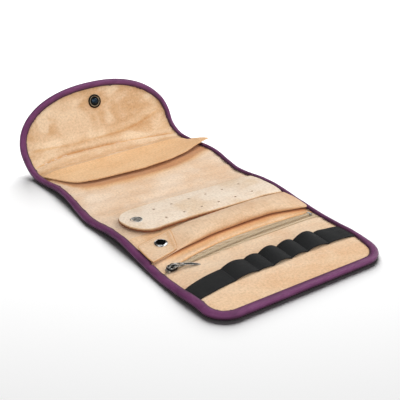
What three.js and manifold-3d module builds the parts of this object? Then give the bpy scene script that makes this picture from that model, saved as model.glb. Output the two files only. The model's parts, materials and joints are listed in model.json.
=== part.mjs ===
import * as THREE from 'three';
import { mergeVertices } from 'three/addons/utils/BufferGeometryUtils.js';
import Module from 'manifold-3d';

// Folding jewelry case lying open. Millimetres, +Z up, X across the width,
// +Y from the near edge towards the flap. Three padded panels fold over each
// other and the curled flap snaps round them.

const wasm = await Module();
wasm.setup();

// Driving dimensions: the case
const caseWidth = 188;
const frontLength = 105;
const middleLength = 107;
const backLength = 106.5;
const cornerRadius = 24;
const foldGap = 0.3;
const foldStrip = 7;
const frontHump = 2.2;
const middleHump = 2.5;
const backHump = 2;

// Driving dimensions: the curled flap, measured on its outer side
const bendRadius = 40;
const bendAngle = THREE.MathUtils.degToRad(62);
const curlRadius = 163;
const curlAngle = THREE.MathUtils.degToRad(19.7);
const archDepth = 62;
const archFullness = 2.2;
const flapOpening = THREE.MathUtils.degToRad(30);

// Driving dimensions: the layers of a panel and their binding
const bindingWidth = 9;
const bindingWall = 0.7;
const shellThickness = 0.7;
const paddingThickness = 1.6;
const liningThickness = 0.7;
const layerGap = 0.3;
const layerInset = 1.5;
const pocketBagThickness = 0.4;

// Driving dimensions: the zip pocket on the front panel
const zipCentre = 91;
const zipSlant = THREE.MathUtils.degToRad(3.3);
const zipTapeWidth = 5.6;
const zipTapeThickness = 0.6;
const zipTapeGap = 1.2;
const coilWidth = 4.4;
const coilHeight = 1.9;
const coilPitch = 3;
const stopLength = 2.4;
const sliderLength = 11;
const sliderWidth = 9.5;
const sliderWall = 0.9;
const sliderFromCoilEnd = 3;
const bridgeLength = 5;
const bridgeWidth = 2.4;
const bridgeWall = 0.8;
const bridgeClearHeight = 1.8;
const pullLength = 26.5;
const pullWidth = 7;
const pullEyeGap = 1.1;
const pullYaw = THREE.MathUtils.degToRad(18);
const pullThickness = 1;
const pullEyeRadius = 1.3;

// Driving dimensions: the elastic band and its loops
const bandWidth = 25;
const bandCentre = 49;
const bandThickness = 1.2;
const bandEndMargin = 0.2;
const firstLoopHeight = 2.5;
const loopWidths = [22.5, 18, 21.5, 17.5, 25, 25.7];
const loopHeights = [6.6, 6.4, 7, 6.6, 7, 8];

// Driving dimensions: the earring tab
const tabWidth = 49;
const tabBarGap = 0.5;
const tabTipMargin = 6;
const tabSnapOffset = 15.5;
const tabFaceThickness = 1.2;
const tabBackingThickness = 0.7;
const earringHoleRadius = 1;
const earringColumns = 6;
const earringRows = 2;
const earringSpacing = 20;
const earringFirstFromTip = 40.5;

// Driving dimensions: the ring bar
const barWidth = 31;
const barCentre = 129.5;
const barHeight = 10;
const barStrapLength = 40;
const barStrapWidth = 30;
const barStrapShift = 5;
const barStrapThickness = 1.8;
const barRampLength = 9;
const barCoverWall = 0.9;
const barEndRound = 5;
const barEndHeight = 6;
const barStrapCorner = 7;
const barSnapOffset = 19;

// Driving dimensions: the press studs
const capRadius = 6.2;
const capHeight = 1.7;
const socketRadius = 5.5;
const socketHeight = 1.2;
const studBaseRadius = 5;
const studBaseThickness = 0.5;
const studPostRadius = 2;
const studPostHeight = 1.2;
const studClearance = 0.3;
const snapGap = 0.2;
const flapSnapFromTip = 22;
const flapSnapOffset = 2;
const closingStudReach = 34;

// Driving dimensions: the slip pocket under the flap
const lipThickness = 1;
const lipLength = 52;
const lipMouthGap = 5.4;
const lipFromBend = 2.5;
const lipOverhang = 7;
const lipMouthCorner = 34;

// Fineness of curved forms
const rowStep = 6;
const arcSteps = 8;
const roundSegments = 20;

// Places that follow from the sizes
const halfWidth = caseWidth / 2;
const firstFold = frontLength;
const secondFold = firstFold + middleLength;
const bendStart = secondFold + backLength;
const bendArc = bendRadius * bendAngle;
const curlArc = curlRadius * curlAngle;
const tipArc = bendStart + bendArc + curlArc;
const archStart = tipArc - archDepth;
const shellLow = bindingWall + layerGap;
const shellHigh = shellLow + shellThickness;
const paddingLow = shellHigh + layerGap;
const paddingHigh = paddingLow + paddingThickness;
const liningLow = paddingHigh + layerGap;
const liningHigh = liningLow + liningThickness;
const bindingHeight = liningHigh + layerGap + bindingWall;
const innerHalf = halfWidth - bindingWidth;
const tabCentre = barCentre + barWidth / 2 + tabBarGap + tabWidth / 2;
const zipHalf = zipTapeWidth + zipTapeGap / 2;
const zipNear = zipCentre - zipHalf;
const zipFar = zipCentre + zipHalf;

// Colours and finish
function finish(color, roughness, metalness = 0) {
  return new THREE.MeshStandardMaterial({ color, roughness, metalness });
}
const purpleShell = finish(0x5d3560, 0.8);
const purpleBinding = finish(0x6c3a68, 0.5);
const tanSuede = finish(0xe2bb8c, 0.92);
const paleSuede = finish(0xe2d0b8, 0.9);
const foam = finish(0xe8e4da, 0.95);
const beigeTape = finish(0xbda985, 0.85);
const beigeCoil = finish(0xc2b08a, 0.5);
const blackElastic = finish(0x24282a, 0.85);
const nickel = finish(0xb9b9b6, 0.25, 1);
const gunmetal = finish(0x3b3f45, 0.35, 1);
const antiqueSilver = finish(0x8f8e8a, 0.4, 1);

// Height of the underside above the table along one panel
function panelHump(s, start, end, height) {
  const from = start + foldStrip;
  const to = end - foldStrip;
  if (s <= from || s >= to) return 0;
  const wave = Math.sin((Math.PI * (s - from)) / (to - from));
  return height * wave * wave;
}

function humpAt(s) {
  if (s < firstFold) return panelHump(s, 0, firstFold, frontHump);
  if (s < secondFold) return panelHump(s, firstFold, secondFold, middleHump);
  return panelHump(s, secondFold, bendStart, backHump);
}

// The underside at the arc position s: its place, and the slope of the curl
function underside(s) {
  if (s <= bendStart) return { y: s, z: humpAt(s), slope: 0 };
  const bend = Math.min((s - bendStart) / bendRadius, bendAngle);
  const curl = Math.max(0, s - bendStart - bendArc) / curlRadius;
  const slope = bend + curl;
  const curlRise = Math.cos(bendAngle) - Math.cos(slope);
  const curlRun = Math.sin(slope) - Math.sin(bendAngle);
  const past = curl > 0 ? curlRadius : 0;
  return {
    y: bendStart + bendRadius * Math.sin(bend) + past * curlRun,
    z: bendRadius * (1 - Math.cos(bend)) + past * curlRise,
    slope,
  };
}

// A point of the case: x across, s along the case, t above the underside
function onCase(x, s, t) {
  const base = underside(s);
  return new THREE.Vector3(x, base.y - t * Math.sin(base.slope), base.z + t * Math.cos(base.slope));
}

// The zip runs at a slant. Its tapes follow it, and the lining on both sides
// follows less and less, down to the elastic and up to the fold.
function besideZip(x, s, t) {
  const elasticFar = bandCentre + bandWidth / 2;
  const fold = firstFold - foldGap / 2;
  const before = (s - elasticFar) / (zipNear - layerGap - elasticFar);
  const after = (fold - s) / (fold - zipFar - layerGap);
  const share = THREE.MathUtils.clamp(Math.min(before, after), 0, 1);
  return onCase(x, s + Math.tan(zipSlant) * x * share, t);
}

// The flap's pieces start on a slanted face, which leaves room to open it
function flapStart(t) {
  return bendStart + foldGap + Math.tan(flapOpening) * Math.max(0, bindingHeight - t);
}

function onFlap(x, s, t) {
  return onCase(x, Math.max(s, flapStart(t)), t);
}

function evenly(from, to, step) {
  const count = Math.max(1, Math.ceil(Math.abs(to - from) / step));
  return Array.from({ length: count + 1 }, (_, i) => from + ((to - from) * i) / count);
}

// Joins rings of points into one closed body. The section is the flat outline
// of a ring, used to fill both ends.
function loft(rings, section) {
  const count = section.length;
  const index = [];
  for (let r = 0; r < rings.length - 1; r += 1) {
    for (let i = 0; i < count; i += 1) {
      const a = r * count + i;
      const b = r * count + ((i + 1) % count);
      index.push(a, b, b + count, a, b + count, a + count);
    }
  }
  const last = (rings.length - 1) * count;
  for (const [a, b, c] of THREE.ShapeUtils.triangulateShape(section, [])) {
    index.push(a, c, b, last + a, last + b, last + c);
  }
  const geometry = new THREE.BufferGeometry();
  const values = rings.flat().flatMap((point) => [point.x, point.y, point.z]);
  geometry.setAttribute('position', new THREE.Float32BufferAttribute(values, 3));
  geometry.setIndex(index);
  return facingOut(geometry);
}

function signedVolume(geometry) {
  const place = geometry.getAttribute('position');
  const index = geometry.getIndex();
  const corner = [new THREE.Vector3(), new THREE.Vector3(), new THREE.Vector3()];
  let volume = 0;
  for (let i = 0; i < index.count; i += 3) {
    corner.forEach((point, k) => point.fromBufferAttribute(place, index.getX(i + k)));
    volume += corner[0].dot(corner[1].clone().cross(corner[2])) / 6;
  }
  return volume;
}

// Turns every face round if the body is inside out
function facingOut(geometry) {
  if (signedVolume(geometry) < 0) {
    const index = geometry.getIndex();
    for (let i = 0; i < index.count; i += 3) {
      const swapped = index.getX(i + 1);
      index.setX(i + 1, index.getX(i + 2));
      index.setX(i + 2, swapped);
    }
  }
  geometry.computeVertexNormals();
  return geometry;
}

// Keeps only positions and merges the corners that faces share
function welded(geometry) {
  geometry.deleteAttribute('normal');
  geometry.deleteAttribute('uv');
  return facingOut(mergeVertices(geometry, 1e-4));
}

function toSolid(geometry) {
  const bare = welded(geometry.clone());
  const vertProperties = new Float32Array(bare.getAttribute('position').array);
  const triVerts = new Uint32Array(bare.getIndex().array);
  return new wasm.Manifold(new wasm.Mesh({ numProp: 3, vertProperties, triVerts }));
}

function fromSolid(solid) {
  const mesh = solid.getMesh();
  const geometry = new THREE.BufferGeometry();
  geometry.setAttribute('position', new THREE.Float32BufferAttribute(mesh.vertProperties, 3));
  geometry.setIndex(Array.from(mesh.triVerts));
  return facingOut(geometry);
}

function box(width, depth, height, x, y, z) {
  return new THREE.BoxGeometry(width, depth, height).translate(x, y, z);
}

// A turned body: the profile's points are [radius, height]
function turned(profile, segments = roundSegments) {
  const points = profile.map(([radius, height]) => new THREE.Vector2(radius, height));
  return welded(new THREE.LatheGeometry(points, segments).rotateX(Math.PI / 2));
}

function piece(name, geometry, material) {
  const mesh = new THREE.Mesh(geometry, material);
  mesh.name = name;
  return mesh;
}

// Half widths along the front panel, with its round near corners
function frontRows(inset) {
  const radius = cornerRadius - inset;
  const half = halfWidth - inset;
  const corner = evenly(0, Math.PI / 2, Math.PI / 2 / arcSteps).map((turn) => ({
    s: inset + radius * (1 - Math.cos(turn)),
    half: half - radius + radius * Math.sin(turn),
  }));
  const straight = evenly(cornerRadius, firstFold - foldGap / 2, rowStep).slice(1);
  return [...corner, ...straight.map((s) => ({ s, half }))];
}

function straightRows(from, to, inset) {
  return evenly(from, to, rowStep).map((s) => ({ s, half: halfWidth - inset }));
}

// One side of the flap's arch: a quarter of an ellipse with fuller shoulders
function archAt(turn, half, depth) {
  const power = 2 / archFullness;
  return { x: half * Math.cos(turn) ** power, s: archStart + depth * Math.sin(turn) ** power };
}

// Half widths along the flap, straight at first and then its arch
function flapRows(inset) {
  const half = halfWidth - inset;
  const lastTurn = THREE.MathUtils.degToRad(84);
  const straight = evenly(bendStart, archStart, rowStep).slice(0, -1);
  const arch = evenly(0, lastTurn, lastTurn / (arcSteps * 1.5)).map((turn) => {
    const { x, s } = archAt(turn, half, archDepth - inset);
    return { s, half: x };
  });
  return [...straight.map((s) => ({ s, half })), ...arch];
}

// One layer of a panel between the heights low and high
function layer(rows, low, high, place = onCase) {
  const corners = [[-1, low], [1, low], [1, high], [-1, high]];
  const section = corners.map(([side, t]) => new THREE.Vector2(side, t));
  const rings = rows.map(({ s, half }) => corners.map(([side, t]) => place(side * half, s, t)));
  return loft(rings, section);
}

// Folded binding tape: a C section that wraps the edge along a path.
// Each path point has its place and the direction towards the panel.
function binding(path, place = onCase) {
  const wall = bindingWall;
  const top = bindingHeight;
  const section = [
    [0, 0], [bindingWidth, 0], [bindingWidth, wall], [wall, wall],
    [wall, top - wall], [bindingWidth, top - wall], [bindingWidth, top], [0, top],
  ];
  const rings = path.map(({ x, s, inX, inS }) =>
    section.map(([depth, t]) => place(x + inX * depth, s + inS * depth, t)));
  return loft(rings, section.map(([depth, t]) => new THREE.Vector2(depth, t)));
}

function sidePath(side, from, to) {
  return evenly(from, to, rowStep).map((s) => ({ x: side * halfWidth, s, inX: -side, inS: 0 }));
}

// From the first fold down one side, round the near corners and back up
function frontPath() {
  const right = sidePath(1, firstFold - foldGap / 2, cornerRadius).slice(0, -1);
  const corner = evenly(0, Math.PI / 2, Math.PI / 2 / arcSteps).map((turn) => ({
    x: halfWidth - cornerRadius + cornerRadius * Math.cos(turn),
    s: cornerRadius - cornerRadius * Math.sin(turn),
    inX: -Math.cos(turn),
    inS: Math.sin(turn),
  }));
  return mirroredPath([...right, ...corner]);
}

// Up one side of the flap, over the arch to its tip and down the other side
function flapPath() {
  const right = sidePath(1, bendStart, archStart).slice(0, -1);
  const lean = 2 - 2 / archFullness;
  const arch = evenly(0, Math.PI / 2, Math.PI / 2 / (arcSteps * 2)).map((turn) => {
    const outward = new THREE.Vector2(
      Math.cos(turn) ** lean / halfWidth,
      Math.sin(turn) ** lean / archDepth,
    ).normalize();
    return { ...archAt(turn, halfWidth, archDepth), inX: -outward.x, inS: -outward.y };
  });
  return mirroredPath([...right, ...arch.slice(0, -1), { x: 0, s: tipArc, inX: 0, inS: -1 }]);
}

function mirroredPath(path) {
  const back = path.slice().reverse();
  const twin = back.map((point) => ({ ...point, x: -point.x, inX: -point.inX }));
  const touching = Math.abs(path.at(-1).x) < 1e-6;
  return [...path, ...(touching ? twin.slice(1) : twin)];
}

// Press stud pieces, each standing on z = 0 and pointing up
function snapCap() {
  const rim = capHeight * 0.35;
  return turned([
    [0, 0], [capRadius, 0], [capRadius, rim], [capRadius * 0.93, capHeight * 0.62],
    [capRadius * 0.74, capHeight * 0.82], [capRadius * 0.4, capHeight * 0.96], [0, capHeight],
  ]);
}

function snapSocket() {
  const bore = studPostRadius + studClearance;
  const lip = socketHeight * 0.3;
  return turned([
    [bore, 0], [socketRadius, 0], [socketRadius, socketHeight - lip],
    [socketRadius - lip, socketHeight], [bore + lip * 2, socketHeight],
    [bore + lip, socketHeight - lip], [bore, socketHeight - lip], [bore, 0],
  ]);
}

function snapStud() {
  const neck = studPostRadius * 0.8;
  const top = studBaseThickness + studPostHeight;
  return turned([
    [0, 0], [studBaseRadius, 0], [studBaseRadius, studBaseThickness * 0.6],
    [studBaseRadius * 0.9, studBaseThickness], [neck, studBaseThickness],
    [studPostRadius, top - studPostRadius * 0.45], [neck, top], [0, top],
  ]);
}

// How far a snapped strap stands above the lining
const strapSeat = layerGap + studBaseThickness + socketHeight + 2 * snapGap;

// A group that stands square on the panel at the height t above its underside
function seatOnPanel(x, y, t, ...meshes) {
  const seat = new THREE.Group();
  seat.position.set(x, y, humpAt(y) + t);
  seat.rotation.x = Math.atan(humpAt(y + 0.5) - humpAt(y - 0.5));
  seat.add(...meshes);
  return seat;
}

// A group in the zip's own frame: x along it from its middle
function alongZip(...meshes) {
  const line = new THREE.Group();
  line.rotation.z = zipSlant;
  line.add(...meshes);
  return seatOnPanel(0, zipCentre, 0, line);
}

function liningStud(name, x, y) {
  return seatOnPanel(x, y, liningHigh + layerGap, piece(name, snapStud(), nickel));
}

// Socket under a strap and cap on it
function strapSnap(prefix, x, y, strapThickness) {
  const socket = piece(`${prefix}_socket`, snapSocket(), nickel);
  const cap = piece(`${prefix}_cap`, snapCap(), nickel);
  socket.position.z = -snapGap - socketHeight;
  cap.position.z = strapThickness + snapGap;
  return seatOnPanel(x, y, liningHigh + strapSeat, socket, cap);
}

// Front panel
function frontPanel() {
  const body = new THREE.Group();
  const rows = frontRows(layerInset);
  const bagHigh = liningLow - layerGap;
  const bagLow = bagHigh - pocketBagThickness;
  const liningNear = [
    ...rows.filter(({ s }) => s < zipNear - layerGap - 1),
    { s: zipNear - layerGap, half: halfWidth - layerInset },
  ];
  const liningFar = straightRows(zipFar + layerGap, firstFold - foldGap / 2, layerInset);
  const bagRows = rows.filter(({ s }) => s > layerInset + 1);
  body.add(
    piece('front_shell', layer(rows, shellLow, shellHigh), purpleShell),
    piece('front_padding', layer(rows, paddingLow, bagLow - layerGap), foam),
    piece('zip_pocket_bag', layer(bagRows, bagLow, bagHigh), tanSuede),
    piece('front_lining', layer(liningNear, liningLow, liningHigh, besideZip), tanSuede),
    piece('front_lining_strip', layer(liningFar, liningLow, liningHigh, besideZip), tanSuede),
    piece('front_binding', binding(frontPath()), purpleBinding),
    ...zipPieces(),
    elasticBand(),
  );
  return body;
}

// Where the coil ends, which leaves room for a stop at each end
const coilHalf = innerHalf - stopLength - 2 * layerGap;
const sliderRest = sliderFromCoilEnd - coilHalf;

// Zip tapes, their closed coil and its end stops
function zipPieces() {
  const tapeHigh = liningLow + zipTapeThickness;
  const tapeHalf = halfWidth - layerInset;
  const tape = (name, side) => {
    const inner = zipCentre + (side * zipTapeGap) / 2;
    const outer = inner + side * zipTapeWidth;
    const rows = [inner, outer].sort((a, b) => a - b).map((s) => ({ s, half: tapeHalf }));
    return piece(name, layer(rows, liningLow, tapeHigh, besideZip), beigeTape);
  };
  const coilLow = tapeHigh + layerGap;
  const stop = (name, side) => {
    const x = side * (coilHalf + layerGap + stopLength / 2);
    const block = box(stopLength, coilWidth + 1, coilHeight, x, 0, coilLow + coilHeight / 2);
    return piece(name, welded(block), antiqueSilver);
  };
  return [
    tape('zip_tape_near', -1),
    tape('zip_tape_far', 1),
    alongZip(
      piece('zip_coil', zipCoil(coilHalf, coilLow), beigeCoil),
      stop('zip_stop_left', -1),
      stop('zip_stop_right', 1),
    ),
  ];
}

// The closed coil is a ribbed half round cord
function zipCoil(half, low) {
  const groove = 0.35;
  const ribCount = Math.round((2 * half) / coilPitch);
  const ringAt = (x, shrink) => {
    const width = coilWidth / 2 - shrink;
    const height = coilHeight - shrink;
    return [0, 0.25, 0.5, 0.75, 1].map((part) => {
      const turn = Math.PI * part;
      return new THREE.Vector3(x, width * Math.cos(turn), low + height * Math.sin(turn));
    });
  };
  const rings = [];
  for (let i = 0; i < ribCount; i += 1) {
    const pitch = (2 * half) / ribCount;
    const x = -half + i * pitch;
    rings.push(ringAt(x, groove), ringAt(x + pitch / 2, 0));
  }
  rings.push(ringAt(half, groove));
  const section = rings[0].map(({ y, z }) => new THREE.Vector2(y, z));
  return loft(rings, section);
}

// Elastic sewn down between its loops
function elasticBand() {
  const stepsPerLoop = 8;
  const low = liningHigh + layerGap;
  const near = bandCentre - bandWidth / 2;
  const far = bandCentre + bandWidth / 2;
  const line = [];
  const bandHalf = innerHalf - bandEndMargin;
  const stitched = loopWidths.reduce((sum, width) => sum + width, 0);
  const widths = [2 * bandHalf - stitched, ...loopWidths];
  const heights = [firstLoopHeight, ...loopHeights];
  let start = -bandHalf;
  widths.forEach((width, i) => {
    for (let k = 0; k < stepsPerLoop; k += 1) {
      const part = k / stepsPerLoop;
      line.push([start + width * part, heights[i] * Math.sin(Math.PI * part)]);
    }
    start += width;
  });
  line.push([start, 0]);
  const depths = evenly(near, far, bandWidth / 3);
  const rings = line.map(([x, lift]) => {
    const under = depths.map((s) => onCase(x, s, low + lift));
    const over = depths.map((s) => onCase(x, s, low + lift + bandThickness)).reverse();
    return [...under, ...over];
  });
  const section = [
    ...depths.map((s) => new THREE.Vector2(s, 0)),
    ...depths.map((s) => new THREE.Vector2(s, bandThickness)).reverse(),
  ];
  return piece('elastic_band', loft(rings, section), blackElastic);
}

// Slider that rides over the coil, with the bridge that holds the pull.
// These heights count from the panel's underside.
const coilTop = liningLow + zipTapeThickness + layerGap + coilHeight;
const sliderTop = coilTop + layerGap + sliderWall;
const bridgeTop = sliderTop + bridgeClearHeight + bridgeWall;

function sliderOutline(length, width) {
  const shape = new THREE.Shape();
  const nose = width * 0.3;
  shape.moveTo(-length / 2, -nose);
  shape.quadraticCurveTo(-length * 0.1, -width / 2, length * 0.25, -width / 2);
  shape.quadraticCurveTo(length / 2, -width / 2, length / 2, -width * 0.2);
  shape.lineTo(length / 2, width * 0.2);
  shape.quadraticCurveTo(length / 2, width / 2, length * 0.25, width / 2);
  shape.quadraticCurveTo(-length * 0.1, width / 2, -length / 2, nose);
  shape.closePath();
  return shape;
}

function plate(shape, thickness, low) {
  const settings = { depth: thickness, bevelEnabled: false, curveSegments: 6 };
  return new THREE.ExtrudeGeometry(shape, settings).translate(0, 0, low);
}

function zipSlider() {
  const flangeLow = liningLow + zipTapeThickness + layerGap;
  const height = sliderTop - flangeLow;
  const outer = toSolid(plate(sliderOutline(sliderLength, sliderWidth), height, flangeLow));
  const channelWidth = coilWidth + 4 * layerGap;
  const channelHeight = height - sliderWall;
  const channelMiddle = flangeLow + channelHeight / 2 - 1;
  const channel = box(sliderLength + 2, channelWidth, channelHeight + 2, 0, 0, channelMiddle);
  const archHeight = bridgeTop - sliderTop;
  const overlap = sliderWall / 2;
  const archMiddle = sliderTop + (archHeight - overlap) / 2;
  const arch = box(bridgeLength, bridgeWidth, archHeight + overlap, 0, 0, archMiddle);
  const gapMiddle = sliderTop + bridgeClearHeight / 2;
  const eyeLength = bridgeLength - 2 * bridgeWall;
  const gap = box(eyeLength, bridgeWidth + 1, bridgeClearHeight, 0, 0, gapMiddle);
  const bridge = toSolid(arch).subtract(toSolid(gap));
  const body = outer.subtract(toSolid(channel)).add(bridge);
  const slider = piece('zip_slider', fromSolid(body), antiqueSilver);
  slider.position.x = sliderRest;
  return slider;
}

// Leaf shaped pull whose eye goes round the bridge
function zipPull() {
  const eyeReach = bridgeLength / 2 + pullEyeRadius;
  const legWidth = 1.2;
  const shoulder = 2;
  const legInner = bridgeWidth / 2 + pullEyeGap;
  const legOuter = legInner + legWidth;
  const crossbar = pullEyeRadius * 0.9;
  const shape = new THREE.Shape();
  shape.moveTo(-crossbar / 2, -legOuter);
  shape.lineTo(eyeReach, -legOuter);
  shape.quadraticCurveTo(eyeReach + shoulder, -pullWidth / 2, pullLength * 0.45, -pullWidth / 2);
  shape.quadraticCurveTo(pullLength * 0.8, -pullWidth * 0.3, pullLength, 0);
  shape.quadraticCurveTo(pullLength * 0.8, pullWidth * 0.3, pullLength * 0.45, pullWidth / 2);
  shape.quadraticCurveTo(eyeReach + shoulder, pullWidth / 2, eyeReach, legOuter);
  shape.lineTo(-crossbar / 2, legOuter);
  shape.closePath();
  const eye = new THREE.Path();
  eye.moveTo(crossbar / 2, -legInner);
  eye.lineTo(crossbar / 2, legInner);
  eye.lineTo(eyeReach - 0.4, legInner);
  eye.lineTo(eyeReach - 0.4, -legInner);
  eye.closePath();
  shape.holes.push(eye);
  const low = sliderTop + (bridgeClearHeight - pullThickness) / 2;
  const mesh = piece('zip_pull', welded(plate(shape, pullThickness, low)), antiqueSilver);
  mesh.position.x = sliderRest;
  mesh.rotation.z = -pullYaw;
  return mesh;
}

// Middle panel
function middlePanel() {
  const body = new THREE.Group();
  const from = firstFold + foldGap / 2;
  const to = secondFold - foldGap / 2;
  const rows = straightRows(from, to, layerInset);
  const studY = firstFold + closingStudReach;
  const closing = piece('closing_stud', snapStud(), nickel);
  closing.rotation.x = Math.PI;
  body.add(
    piece('middle_shell', layer(rows, shellLow, shellHigh), purpleShell),
    piece('middle_padding', layer(rows, paddingLow, paddingHigh), foam),
    piece('middle_lining', layer(rows, liningLow, liningHigh), tanSuede),
    piece('middle_binding_left', binding(sidePath(-1, from, to)), purpleBinding),
    piece('middle_binding_right', binding(sidePath(1, from, to)), purpleBinding),
    liningStud('earring_tab_stud', tabSnapX, tabCentre),
    liningStud('ring_bar_stud', barSnapX, barSnapY),
    seatOnPanel(flapSnapOffset, studY, shellLow - layerGap / 2, closing),
  );
  return body;
}

// Earring tab: two leather layers with holes for posts and hooks
const strapEnd = innerHalf - 1;
const tabTip = tabTipMargin - innerHalf;
const tabSnapX = tabTip + tabSnapOffset;
const tabSlopeStart = tabSnapX + socketRadius * 3;

function tabLift(x) {
  const part = THREE.MathUtils.clamp((x - tabSlopeStart) / (strapEnd - tabSlopeStart), 0, 1);
  return THREE.MathUtils.lerp(strapSeat, layerGap, part);
}

function tabLayer(low, high) {
  const radius = tabWidth / 2;
  const total = tabBackingThickness + tabFaceThickness;
  const round = evenly(0, Math.PI / 2, Math.PI / 2 / arcSteps).slice(1).map((turn) => ({
    x: tabTip + radius * (1 - Math.cos(turn)),
    half: radius * Math.sin(turn),
  }));
  const straight = evenly(tabTip + radius, strapEnd, rowStep * 3).slice(1);
  const columns = [
    { x: tabTip + 0.1, half: radius * 0.12 },
    ...round,
    ...straight.map((x) => ({ x, half: radius })),
  ];
  const across = evenly(-1, 1, 0.5);
  const outline = [...across.map((side) => [side, low]), ...across.map((side) => [-side, high])];
  const section = outline.map(([side, t]) => new THREE.Vector2(side, t));
  const rings = columns.map(({ x, half }) => outline.map(([side, t]) =>
    onCase(x, tabCentre + side * half, liningHigh + tabLift(x) + t)));
  let solid = toSolid(loft(rings, section));
  const punchLength = 2 * (liningHigh + strapSeat + middleHump + total);
  const punch = new THREE.CylinderGeometry(earringHoleRadius, earringHoleRadius, punchLength, 10);
  punch.rotateX(Math.PI / 2);
  for (let column = 0; column < earringColumns; column += 1) {
    for (let row = 0; row < earringRows; row += 1) {
      const x = tabTip + earringFirstFromTip + column * earringSpacing;
      const y = tabCentre + (row - (earringRows - 1) / 2) * earringSpacing;
      solid = solid.subtract(toSolid(punch.clone().translate(x, y, 0)));
    }
  }
  return fromSolid(solid);
}

function earringTab() {
  const body = new THREE.Group();
  const total = tabBackingThickness + tabFaceThickness;
  body.add(
    piece('earring_tab_backing', tabLayer(0, tabBackingThickness - 0.1), tanSuede),
    piece('earring_tab_face', tabLayer(tabBackingThickness, total), paleSuede),
    strapSnap('earring_tab', tabSnapX, tabCentre, total),
  );
  return body;
}

// Ring bar: a padded roll with a flat strap that snaps to the lining
const barStrapStart = -innerHalf;
const barStart = barStrapStart + barStrapLength;
const barSnapX = barStrapStart + barSnapOffset;
const barSnapY = barCentre - barStrapShift;

// Middle, width and heights of the roll at a place along the bar
function barSize(x) {
  const ramp = THREE.MathUtils.smoothstep(x, barStart - barRampLength / 2, barStart + barRampLength);
  const end = THREE.MathUtils.smoothstep(strapEnd - x, 0, barEndRound);
  const strapEdge = Math.max(0, barStrapCorner - (x - barStrapStart));
  const corner = barStrapCorner - Math.sqrt(barStrapCorner ** 2 - strapEdge ** 2);
  const half = THREE.MathUtils.lerp(barStrapWidth / 2 - corner, barWidth / 2, ramp);
  const low = THREE.MathUtils.lerp(strapSeat, layerGap, ramp);
  const full = THREE.MathUtils.lerp(barEndHeight, barHeight, end);
  const high = THREE.MathUtils.lerp(strapSeat + barStrapThickness, full, ramp);
  const centre = barCentre - barStrapShift * (1 - ramp);
  return { centre, half, low, high, ramp };
}

// Section of the roll, flat below and round above. It flattens into the strap.
function barRing(x, inset) {
  const { centre, half, low, high, ramp } = barSize(x);
  const steps = 10;
  const flank = low + inset + 0.8;
  const top = high - inset;
  const ring = [];
  for (let i = 0; i <= steps; i += 1) {
    const turn = (Math.PI * i) / steps;
    const dome = Math.sin(turn) ** THREE.MathUtils.lerp(0.2, 0.75, ramp);
    const y = centre + (half - inset) * Math.cos(turn);
    ring.push(onCase(x, y, liningHigh + flank + (top - flank) * (i % steps ? dome : 0)));
  }
  const footHalf = half - inset - 1.2;
  for (const side of evenly(-1, 1, 0.25)) {
    ring.push(onCase(x, centre + side * footHalf, liningHigh + low + inset));
  }
  return ring;
}

function barRoll(columns, inset) {
  const rings = columns.map((x) => barRing(x, inset));
  const section = rings.at(-1).map(({ y, z }) => new THREE.Vector2(y, z));
  return loft(rings, section);
}

function ringBar() {
  const body = new THREE.Group();
  const strap = evenly(barStrapStart + 0.3, barStart - barRampLength / 2, rowStep);
  const ramp = evenly(barStart - barRampLength / 2, barStart + barRampLength, 3).slice(1);
  const roll = evenly(barStart + barRampLength, strapEnd, rowStep * 2).slice(1);
  const rollEnd = evenly(strapEnd - barEndRound, strapEnd, barEndRound / 3);
  const rollColumns = [...roll.filter((x) => x < strapEnd - barEndRound - 1), ...rollEnd];
  const outer = toSolid(barRoll([...strap, ...ramp, ...rollColumns], 0));
  const hollowColumns = [barStart + barRampLength, ...rollColumns, strapEnd + 1];
  const hollow = toSolid(barRoll(hollowColumns, barCoverWall));
  const coreColumns = [barStart + barRampLength + layerGap, ...rollColumns];
  const core = barRoll(coreColumns, barCoverWall + layerGap);
  body.add(
    piece('ring_bar_cover', fromSolid(outer.subtract(hollow)), tanSuede),
    piece('ring_bar_filling', core, foam),
    strapSnap('ring_bar', barSnapX, barSnapY, barStrapThickness),
  );
  return body;
}

// Back panel
function backPanel() {
  const body = new THREE.Group();
  const from = secondFold + foldGap / 2;
  const rows = straightRows(from, bendStart, layerInset);
  body.add(
    piece('back_shell', layer(rows, shellLow, shellHigh), purpleShell),
    piece('back_padding', layer(rows, paddingLow, paddingHigh), foam),
    piece('back_lining', layer(rows, liningLow, liningHigh), tanSuede),
    piece('back_binding_left', binding(sidePath(-1, from, bendStart)), purpleBinding),
    piece('back_binding_right', binding(sidePath(1, from, bendStart)), purpleBinding),
  );
  return body;
}

// Slip pocket's lip, which stands open at its mouth
function pocketLip() {
  const half = innerHalf - layerGap;
  const reach = lipLength;
  const shape = new THREE.Shape();
  shape.moveTo(-half, 0);
  shape.quadraticCurveTo(-half, -reach * 0.55, -half + lipMouthCorner * 0.35, -reach * 0.78);
  shape.quadraticCurveTo(-half + lipMouthCorner * 0.6, -reach, -half + lipMouthCorner * 1.2, -reach);
  shape.lineTo(half - lipMouthCorner * 1.1, -reach);
  shape.quadraticCurveTo(half - lipMouthCorner * 0.3, -reach, half + lipOverhang, -reach * 0.62);
  shape.lineTo(half, -reach * 0.3);
  shape.lineTo(half, 0);
  shape.closePath();
  const mouth = bendStart - lipFromBend - reach;
  const rise = humpAt(mouth) + lipMouthGap - layerGap;
  const mesh = piece('pocket_lip', welded(plate(shape, lipThickness, 0)), tanSuede);
  mesh.rotation.x = -Math.atan2(rise, reach);
  mesh.position.set(0, bendStart - lipFromBend, liningHigh + layerGap);
  return mesh;
}

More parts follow.
